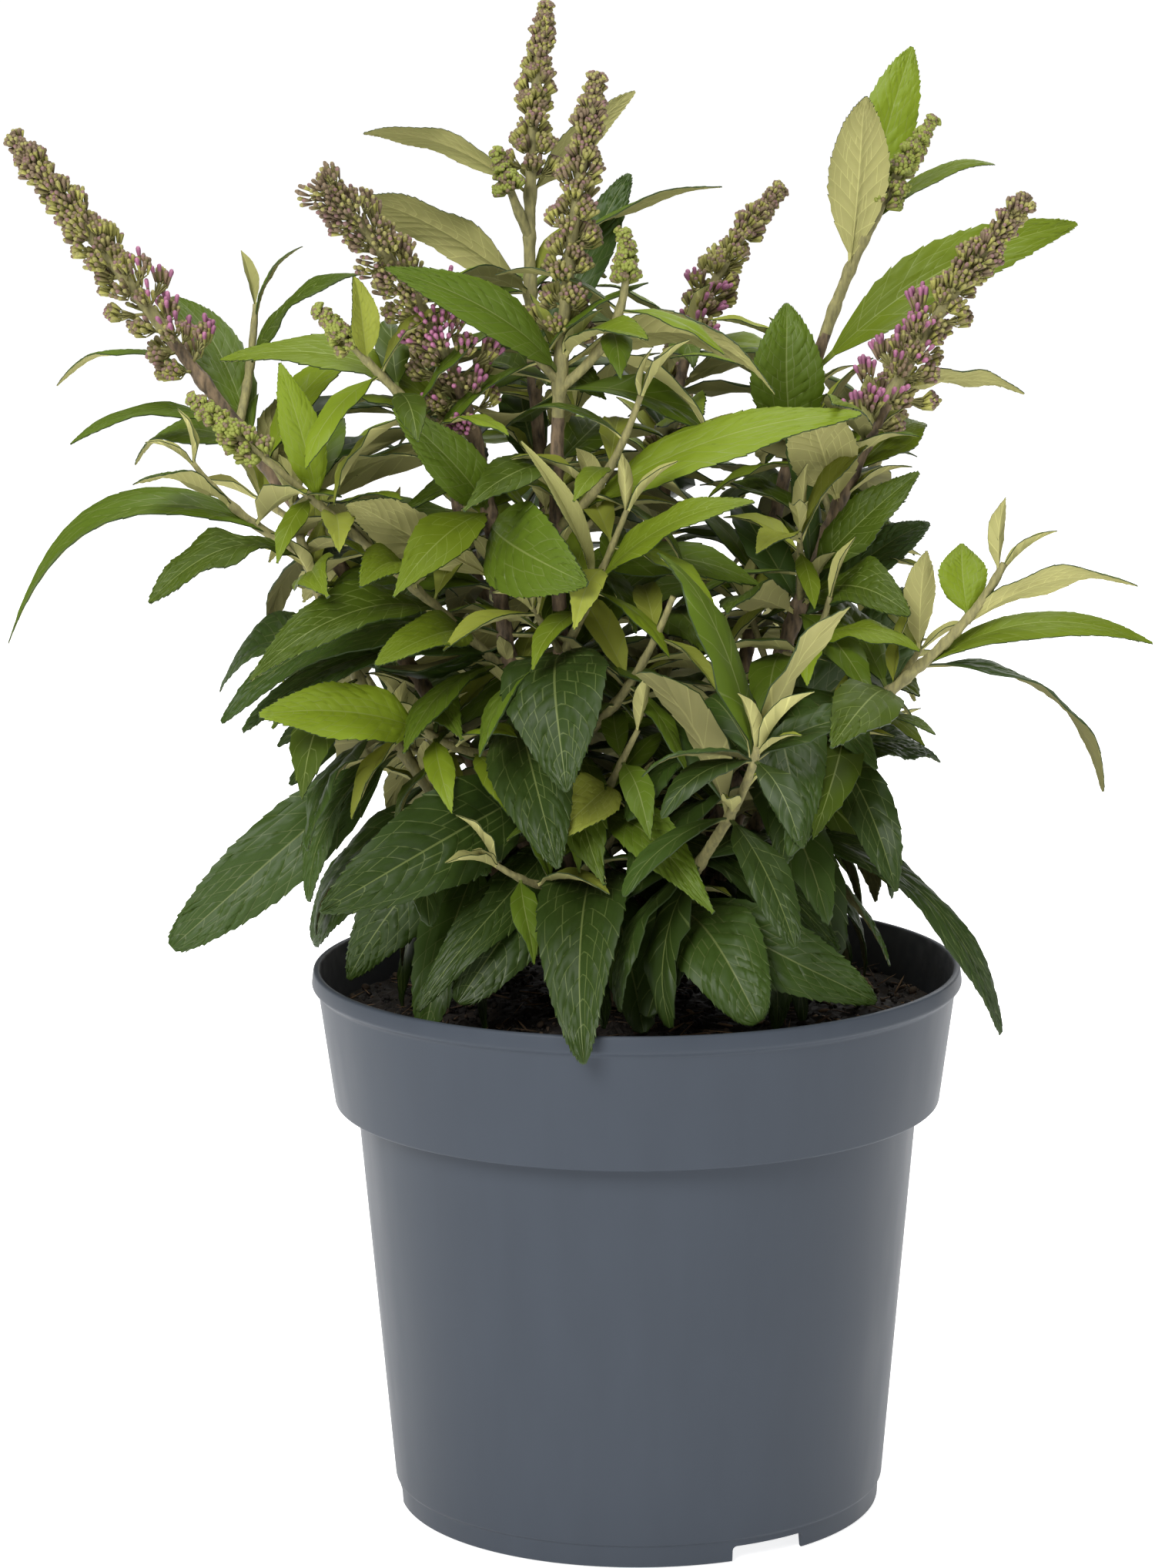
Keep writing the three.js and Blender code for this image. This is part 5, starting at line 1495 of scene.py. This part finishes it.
class BUSH_OT_pot(bpy.types.Operator):
    """Turns the pot, cuts its notches and drain holes"""

    bl_idname = "bush.pot"
    bl_label = "Pot"

    def execute(self, context):
        p = POT
        lip_from = p["height"] - p["lip_height"]
        floor_top = p["floor_from"] + p["wall"]
        foot_in = p["foot_radius"] - p["wall"]
        outer = [
            (0, 0), (p["boss_radius"], 0), (p["boss_radius"] + p["draft"], p["floor_from"]),
            (foot_in - p["draft"], p["floor_from"]), (foot_in, 0), (p["foot_radius"], 0),
            (p["foot_radius"] + p["step"], p["foot_height"] - p["draft"]), (p["body_low"], p["foot_height"]),
            (p["body_high"], p["collar_from"]), (p["collar_low"], p["collar_from"] + p["step"]),
            (p["collar_high"], lip_from), (p["lip_radius"], lip_from + p["wall"]),
            (p["lip_radius"] - p["draft"], p["height"]),
        ]
        inner = [
            (inner_collar(p["height"]), p["height"]),
            (inner_collar(p["collar_from"]), p["collar_from"] + p["wall"]),
            (inner_body(p["collar_from"]), p["collar_from"] - p["wall"]), (inner_body(floor_top), floor_top),
            (p["boss_radius"] - p["wall"], floor_top), (p["boss_radius"] - p["wall"] - p["draft"], p["wall"]),
            (0, p["wall"]),
        ]
        pot = lathe("pot_turned", rounded(outer + inner, 0.7), 160)
        for i in range(p["drains"]):
            turn = i * 2 * math.pi / p["drains"]
            place = (p["drain_ring"] * MM * math.cos(turn), p["drain_ring"] * MM * math.sin(turn),
                     (p["floor_from"] + p["wall"] / 2) * MM)
            bpy.ops.object.select_all(action="DESELECT")
            bpy.ops.mesh.primitive_cylinder_add(vertices=32, radius=p["drain_radius"] * MM,
                                                depth=4 * p["wall"] * MM, location=place)
            cut_with(pot, bpy.context.active_object)
        for i in range(p["notches"]):
            turn = math.radians(p["notch_turn"] + i * 360 / p["notches"])
            place = (p["foot_radius"] * MM * math.sin(turn), -p["foot_radius"] * MM * math.cos(turn), 0)
            bpy.ops.object.select_all(action="DESELECT")
            bpy.ops.mesh.primitive_cube_add(size=1, location=place, rotation=(0, 0, turn))
            notch = bpy.context.active_object
            notch.scale = (p["notch_width"] * MM, p["notch_depth"] * MM, 2 * p["notch_height"] * MM)
            settle(notch, "notch")
            add_modifier(notch, "BEVEL", width=0.0012, segments=3, limit_method="ANGLE")
            cut_with(pot, notch)
        select_only(pot)
        bpy.ops.object.shade_smooth_by_angle(angle=math.radians(32))
        colours = context.scene.bush_colours
        pot.data.materials.clear()
        pot.data.materials.append(grained_material(
            "slate_plastic", shade(colours.pot, 0.94), shade(colours.pot, 1.06), (0.38, 0.5), 90,
            stretch=(1, 1, 0.25), contrast=1.6, depth=0.05, specular=0.12))
        # The inside of the collar above the soil gets a much darker copy of the plastic: painted shade.
        pot.data.materials.append(grained_material(
            "inner_wall_painted_shade", shade(colours.pot, 0.12), shade(colours.pot, 0.4), (0.5, 0.8), 160,
            contrast=2.5, depth=0.15))
        # Faces that look inwards on the collar, above the soil, take the painted shade.
        for face in pot.data.polygons:
            out = math.hypot(face.center.x, face.center.y)
            inward = face.normal.x * face.center.x + face.normal.y * face.center.y < -0.5 * out
            face.material_index = int(inward and face.center.z > SOIL["top"] * MM - 0.02 and out > 0.07)
        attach(pot, "root")
        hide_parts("pot")
        return {"FINISHED"}


LUMP = club(((0.0, 0.5), (0.25, 0.95), (0.6, 1.0), (0.9, 0.6)), 5, 2)
SLIVER = club(((0.0, 0.6), (0.35, 1.0), (0.7, 0.9)), 4, 2)

# Crumbs and fibres on the soil: how far inside its edge they lie and how high over it, and their size as
# the least value, what a draw adds to it and the power of the draw. Lengths are in mm.
STREWING = {
    "seed": 4242, "crumbs_in": 2, "crumb": (0.7, 2.4, 3), "crumb_way": (1, 1, 0.7),
    "crumb_up": (0.9, 0.6), "fibres_in": 5, "fibre": (3, 9, 2), "fibre_wide": (0.35, 0.9, 3),
    "fibre_up": (1.6, 0.8),
}
BED_RINGS = 44  # rings of faces in the soil's top, which take its relief


class BUSH_OT_soil(bpy.types.Operator):
    """Fills the pot with soil, and strews crumbs and fibres on it"""

    bl_idname = "bush.soil"
    bl_label = "Soil"

    def execute(self, context):
        looks, colours = context.scene.bush_looks, context.scene.bush_colours
        p, gap = POT, SOIL["gap"]
        floor = p["floor_from"] + p["wall"] + gap
        rim = inner_collar(SOIL["top"]) - gap
        profile = [(0, floor), (inner_body(floor) - gap, floor),
                   (inner_body(p["collar_from"]) - gap, p["collar_from"] - p["wall"]),
                   (inner_collar(p["collar_from"]) - gap, p["collar_from"] + p["wall"] + gap)]
        profile += [(rim * (1 - k / BED_RINGS), SOIL["top"]) for k in range(BED_RINGS)]
        profile.append((0, SOIL["top"]))
        soil = lathe("soil_bed", profile, 150)
        for vertex in soil.data.vertices:
            if vertex.co.z > (SOIL["top"] - 0.01) * MM:
                vertex.co.z = soil_height(vertex.co.x / MM, vertex.co.y / MM) * MM
        top = soil.vertex_groups.new(name="top")
        free = (rim - 1.5) * MM
        chosen = [v.index for v in soil.data.vertices
                  if v.co.z > (SOIL["top"] - 6) * MM and math.hypot(v.co.x, v.co.y) < free]
        top.add(chosen, 1.0, "REPLACE")
        add_modifier(soil, "DISPLACE", texture=cloud("clods", 0.007), strength=0.0045, direction="Z",
                     texture_coords="LOCAL", vertex_group="top", mid_level=0.55)
        add_modifier(soil, "DISPLACE", texture=cloud("crumb", 0.0022, 4), strength=0.0026, direction="Z",
                     texture_coords="LOCAL", vertex_group="top", mid_level=0.5)
        soil.data.materials.clear()
        soil.data.materials.append(grained_material(
            "peat", shade(colours.soil, 0.5), shade(colours.soil, 2.2), (0.75, 0.98), 420,
            contrast=3, depth=1.0))
        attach(soil, "root")
        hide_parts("soil")
        self.strew(looks, colours, rim)
        return {"FINISHED"}

    def strew(self, looks, colours, rim):
        """Crumbs and fibres, joined."""
        draw = drawer(STREWING["seed"])
        brown, brown_fibre = (toward(colours.soil, colours.fibre, share) for share in (0.22, 0.45))
        tones = [plain_material("crumb_dark", shade(colours.soil, 0.6), 0.9),
                 plain_material("crumb", colours.soil, 0.9),
                 plain_material("crumb_brown", brown, 0.85)]
        crumbs = Gatherer()
        for _ in range(looks.crumbs):
            x, y = self.spot(rim - STREWING["crumbs_in"], draw)
            size = drawn(draw, *STREWING["crumb"])
            way = unit(np.array([either_way(draw, width) for width in STREWING["crumb_way"]]))
            root = np.array([x, y, soil_height(x, y) + drawn(draw, *STREWING["crumb_up"])]) - way * size / 2
            tone = int(draw() * len(tones))
            crumbs.add(placed(LUMP[0], root, way, size, size * 0.8, draw() * 6), LUMP[1],
                       [tone] * len(LUMP[1]))
        piece = crumbs.build("soil_crumbs", tones)
        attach(piece, "root")
        tones = [plain_material("fibre", colours.fibre, 0.8),
                 plain_material("fibre_brown", brown_fibre, 0.85)]
        fibres = Gatherer()
        for _ in range(looks.fibres):
            x, y = self.spot(rim - STREWING["fibres_in"], draw)
            long = drawn(draw, *STREWING["fibre"])
            way = unit(np.array([draw() - 0.5, draw() - 0.5, 0.25 * (draw() - 0.3)]))
            root = np.array([x, y, soil_height(x, y) + drawn(draw, *STREWING["fibre_up"])]) - way * long / 2
            tone = int(draw() * len(tones))
            width = drawn(draw, *STREWING["fibre_wide"])
            fibres.add(placed(SLIVER[0], root, way, long, width, 0), SLIVER[1], [tone] * len(SLIVER[1]))
        piece = fibres.build("soil_fibres", tones)
        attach(piece, "root")

    def spot(self, most, draw):
        """A random place on the soil within a radius."""
        out, turn = most * math.sqrt(draw()), draw() * 2 * math.pi
        return out * math.cos(turn), out * math.sin(turn)


def strand_mesh(name, strands, spacing, sides):
    """Tubes along paths, from a curve with a radius at each point, turned into one mesh.

    A strand is (path, from, to, thick, thin, joints), in mm.
    """
    bpy.ops.object.select_all(action="DESELECT")
    bpy.ops.curve.primitive_nurbs_path_add(location=(0, 0, 0))
    piece = bpy.context.active_object
    curve = piece.data
    curve.splines.clear()
    curve.dimensions = "3D"
    curve.twist_mode = "MINIMUM"
    curve.bevel_depth = MM
    curve.bevel_resolution = max(0, sides // 4 - 1)
    curve.use_fill_caps = True
    for path, start, end, thick, thin, joints in strands:
        count = max(4, round((end - start) * path.length / spacing))
        spline = curve.splines.new("POLY")
        spline.points.add(count - 1)
        for point, t in zip(spline.points, np.linspace(start, end, count)):
            swell = sum(math.exp(-(((t - j) * path.length) / 1.7) ** 2) for j in joints)
            radius = mix(thick, thin, (t - start) / (end - start)) * (1 + 0.22 * min(swell, 1.3))
            point.co = (*(path.at(t) * MM), 1)
            point.radius = radius
    select_only(piece)
    bpy.ops.object.convert(target="MESH")
    piece = bpy.context.active_object
    settle(piece, name)
    bpy.ops.object.mode_set(mode="EDIT")
    bpy.ops.mesh.select_all(action="SELECT")
    bpy.ops.mesh.remove_doubles(threshold=1e-6)
    bpy.ops.mesh.normals_make_consistent(inside=False)
    bpy.ops.object.mode_set(mode="OBJECT")
    return piece


BROWN_UP = {"front": 0.58, "tall": 0.58}  # how far up a flowering stem its bark is brown


class BUSH_OT_limbs(bpy.types.Operator):
    """Makes the woody crown, and each shoot's stem with the relief of its bark"""

    bl_idname = "bush.limbs"
    bl_label = "Crown and stems"

    def execute(self, context):
        bush, looks, colours = the_bush(), context.scene.bush_looks, context.scene.bush_colours
        young = grained_material(
            "felted_stem", shade(colours.bark_young, 0.62), shade(colours.bark_young, 1.15),
            (0.7, 0.9), 900, stretch=(1, 1, 0.35), contrast=2.6, depth=0.6)
        old = grained_material(
            "old_bark", shade(colours.bark_old, 0.4), shade(colours.bark_old, 1.9),
            (0.75, 0.95), 620, stretch=(1, 1, 0.3), contrast=3, depth=0.9)
        ridges = cloud("ridges", 0.0011, 3)
        for name, path in bush.paths.items():
            end = 0.995 if path.flower else 0.985
            strand = (path, 0.0, end, path.thick, path.thin, bush.joints[name])
            stem = strand_mesh(f"limb_{name}", [strand], 1.3, 12)
            add_modifier(stem, "DISPLACE", texture=ridges, strength=looks.bark, mid_level=0.6,
                         texture_coords="LOCAL")
            stem.data.materials.append(young)
            stem.data.materials.append(old)
            brown_up = path.leaf_from * 1.6
            if path.flower:
                brown_up = mix(path.leaf_from, 1, BROWN_UP.get(name, 0.7))
            change = path.at(brown_up)[2] * MM
            for face in stem.data.polygons:
                face.material_index = int(face.center.z < change)
                face.use_smooth = True
            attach(stem, "root")
            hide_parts(f"stem_{name}")
        self.crown(old)
        return {"FINISHED"}

    def crown(self, bark):
        """The stool that all the stems rise from."""
        low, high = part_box("crown")
        profile = [(0, low.z / MM), (CROWN["low"] - 0.6, low.z / MM), (CROWN["low"] - 0.2, low.z / MM + 2),
                   (CROWN["high"] + 0.3, mix(low.z, high.z, 0.6) / MM), (CROWN["high"] - 1, high.z / MM - 1),
                   (0, high.z / MM)]
        crown = lathe("woody_crown", rounded(profile, 2.5, 5), 48)
        add_modifier(crown, "SUBSURF", levels=1, render_levels=1)
        add_modifier(crown, "DISPLACE", texture=cloud("gnarl", 0.005, 3), strength=0.0022, mid_level=0.75,
                     texture_coords="LOCAL")
        crown.data.materials.clear()
        crown.data.materials.append(bark)
        select_only(crown)
        bpy.ops.object.shade_smooth()
        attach(crown, "root")
        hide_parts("crown")


class BUSH_OT_twigs(bpy.types.Operator):
    """Makes the twigs of each shoot"""

    bl_idname = "bush.twigs"
    bl_label = "Twigs"

    def execute(self, context):
        bush, looks = the_bush(), context.scene.bush_looks
        felt = bpy.data.materials["felted_stem"]
        ridges = cloud("twig_ridges", 0.0009, 2)
        for name, twigs in bush.twigs.items():
            if not twigs:
                continue
            strands = [(path, 0.0, 0.99, thick, thin, bush.joints[twig]) for twig, path, thick, thin in twigs]
            piece = strand_mesh(f"twigs_{name}", strands, 1.5, 8)
            add_modifier(piece, "DISPLACE", texture=ridges, strength=looks.bark * 0.6, mid_level=0.6,
                         texture_coords="LOCAL")
            piece.data.materials.append(felt)
            select_only(piece)
            bpy.ops.object.shade_smooth()
            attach(piece, "root")
            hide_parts(f"foliage_{name}")
        return {"FINISHED"}


class BUSH_OT_leaves(bpy.types.Operator):
    """Makes the leaves of each shoot, with their veins and teeth"""

    bl_idname = "bush.leaves"
    bl_label = "Leaves"

    def execute(self, context):
        bush, looks = the_bush(), context.scene.bush_looks
        for index, (name, leaves) in enumerate(bush.leaves.items()):
            draw = drawer(RULE["seed"] + 31000 + index)
            gather = Gatherer()
            for leaf in leaves:
                gather.add(*leaf_shape(leaf, draw, looks))
            piece = gather.build(f"leaves_{name}", BUSH["leaf"], smooth_angle=50)
            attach(piece, "root")
            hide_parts(f"foliage_{name}")
        return {"FINISHED"}


SHORT_SPIKE = 36  # a shoot's spike that is no longer than this is still green
BLUNT_SPIKE = "mid_left"

# Where a spike has open flowers: the side that they are on, how far up, and how many of the buds.
FLOWERS = {
    "left": ((0.75, 0, 0.66), 0.36, 0.4),
    "right": ((-0.8, -0.2, 0.5), 0.45, 0.5),
    "mid_left": ((0.6, -0.5, -0.5), 0.5, 0.62),
    "mid_right": ((0.1, -0.9, -0.2), 0.26, 0.28),
}


def flowering_of(name):
    """The share of buds that are open at a place on a spike."""
    if name not in FLOWERS:
        return lambda share, way: 0.0
    side, until, most = FLOWERS[name]
    side = unit(np.array(side, float))

    def flowering(share, way):
        facing = float(np.dot(way, side))
        return most * max(0.0, min(1.0, 0.35 + facing)) if share < until else 0.0

    return flowering


class BUSH_OT_spikes(bpy.types.Operator):
    """Makes the buds and flowers of each spike"""

    bl_idname = "bush.spikes"
    bl_label = "Flower spikes"

    def execute(self, context):
        bush, looks, colours = the_bush(), context.scene.bush_looks, context.scene.bush_colours
        bud, tip, flower = colours.bud, colours.bud_tip, colours.flower
        tones = [plain_material(label, colour, roughness) for label, colour, roughness in (
            ("calyx", bud, 0.7),
            ("calyx_pale", shade(bud, 1.35), 0.7),
            ("calyx_olive", toward(shade(bud, 0.8), tip, 0.45), 0.75),
            ("bud_tip", tip, 0.75),
            ("bud_mauve", toward(tip, flower, 0.3), 0.7),
            ("bud_green", toward(bud, tip, 0.3), 0.7),
            ("flower", shade(flower, 1.25), 0.55),
            ("flower_deep", flower, 0.6),
            ("spike_stalk", toward(colours.bark_young, bud, 0.4), 0.8),
            ("calyx_mauve", toward(shade(bud, 0.8), flower, 0.4), 0.7),
            ("calyx_lime", colours.bud_green, 0.7),
        )]
        for index, (name, spikes) in enumerate(bush.spikes.items()):
            if not spikes:
                continue
            draw = drawer(RULE["seed"] + 52000 + index)
            gather = Gatherer()
            for place, (path, start, girth, length) in enumerate(spikes):
                main = place == 0 and bush.paths[name].flower > SHORT_SPIKE
                flowering = flowering_of(name if main else "")
                spike_shape(gather, path, start, girth, length, flowering, draw, looks, not main,
                            main and name == BLUNT_SPIKE)
            piece = gather.build(f"spikes_{name}", tones)
            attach(piece, "root")
            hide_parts(f"foliage_{name}")
        return {"FINISHED"}


# ---------------------------------------------------------------- stage

CAMERA_PLACE = (0.0, -1.3852, 0.4668)
CAMERA_PAN = -0.707
CAMERA_PITCH = 10.282
CAMERA_ROLL = -0.358
CAMERA_LENS = 110.2
SENSOR = 36.0
PAPER_PROFILE = [(0, -0.4), (7000, -0.4), (10000, 200), (12500, 850), (14000, 2100)]


class BUSH_OT_stage(bpy.types.Operator):
    """Sets the pale floor, the soft lights and the camera"""

    bl_idname = "bush.stage"
    bl_label = "Stage"

    def execute(self, context):
        self.camera(context)
        self.floor()
        self.lights(context)
        return {"FINISHED"}

    def camera(self, context):
        """The camera at the front, a little above the plant."""
        data = bpy.data.cameras.new("camera")
        data.sensor_fit = "VERTICAL"
        data.sensor_height = SENSOR
        data.sensor_width = SENSOR
        data.lens = CAMERA_LENS
        data.clip_start = 0.05
        data.clip_end = 200
        camera = bpy.data.objects.new("camera", data)
        context.scene.collection.objects.link(camera)
        pan, pitch, roll = (math.radians(a) for a in (CAMERA_PAN, CAMERA_PITCH, CAMERA_ROLL))
        forward = Vector((math.sin(pan) * math.cos(pitch), math.cos(pan) * math.cos(pitch), -math.sin(pitch)))
        right = Vector((math.cos(pan), -math.sin(pan), 0))
        up = right.cross(forward)
        rolled_right = right * math.cos(roll) + up * math.sin(roll)
        rolled_up = up * math.cos(roll) - right * math.sin(roll)
        matrix = camera.matrix_world
        for k in range(3):
            matrix[k] = (rolled_right[k], rolled_up[k], -forward[k], CAMERA_PLACE[k])
        camera.matrix_world = matrix
        context.scene.camera = camera

    def floor(self):
        """A wide pale floor that curves up at its far edge."""
        floor = lathe("floor", PAPER_PROFILE, 96, closed=False)
        paper = plain_material("paper", (0.85, 0.85, 0.85), 0.95, 0.0)
        shader = paper.node_tree.nodes["Principled BSDF"]
        shader.inputs["Emission Color"].default_value = (1, 1, 1, 1)
        shader.inputs["Emission Strength"].default_value = 0.82
        floor.data.materials.append(paper)

    def lights(self, context):
        """A white room and broad lamps: a key from the upper left, a fill, one above and one behind."""
        world = bpy.data.worlds.new("room")
        world.use_nodes = True
        background = world.node_tree.nodes["Background"]
        background.inputs["Color"].default_value = (1, 1, 1, 1)
        background.inputs["Strength"].default_value = 0.23
        context.scene.world = world
        lamps = [
            ("key", (-0.8, -1.7, 1.5), 1.0, 52),
            ("fill", (1.7, -1.2, 0.9), 1.2, 2),
            ("top", (0.0, 0.1, 2.2), 1.0, 32),
            ("back", (0.7, 1.8, 1.3), 1.2, 12),
        ]
        for name, place, size, power in lamps:
            data = bpy.data.lights.new(name, "AREA")
            data.size = size
            data.energy = power
            lamp = bpy.data.objects.new(name, data)
            lamp.location = place
            aim = Vector((0, 0, 0.22)) - Vector(place)
            lamp.rotation_euler = aim.to_track_quat("-Z", "Y").to_euler()
            context.scene.collection.objects.link(lamp)
        context.scene.view_settings.view_transform = "Standard"


class BUSH_PT_panel(bpy.types.Panel):
    """Lists the pieces of the bush"""

    bl_idname = "BUSH_PT_panel"
    bl_label = "Bush"
    bl_space_type = "VIEW_3D"
    bl_region_type = "UI"
    bl_category = "Bush"

    def draw(self, context):
        for group in (context.scene.bush_looks, context.scene.bush_colours):
            for name in group.__annotations__:
                self.layout.prop(group, name)
        for operator in OPERATORS:
            self.layout.operator(operator.bl_idname)


OPERATORS = (BUSH_OT_stage, BUSH_OT_pot, BUSH_OT_soil, BUSH_OT_limbs, BUSH_OT_twigs, BUSH_OT_leaves,
             BUSH_OT_spikes)
CLASSES = (BushLooks, BushColours, *OPERATORS, BUSH_PT_panel)


def register():
    """Registers the classes and the properties on the scene."""
    for cls in CLASSES:
        bpy.utils.register_class(cls)
    bpy.types.Scene.bush_looks = bpy.props.PointerProperty(type=BushLooks)
    bpy.types.Scene.bush_colours = bpy.props.PointerProperty(type=BushColours)


def unregister():
    """Takes them away again."""
    del bpy.types.Scene.bush_colours
    del bpy.types.Scene.bush_looks
    for cls in reversed(CLASSES):
        bpy.utils.unregister_class(cls)


def main():
    """Builds everything in order."""
    register()
    bpy.ops.bush.stage()
    bpy.ops.bush.pot()
    bpy.ops.bush.soil()
    bpy.ops.bush.limbs()
    bpy.ops.bush.twigs()
    bpy.ops.bush.leaves()
    bpy.ops.bush.spikes()
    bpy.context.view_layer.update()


if __name__ == "__main__":
    main()
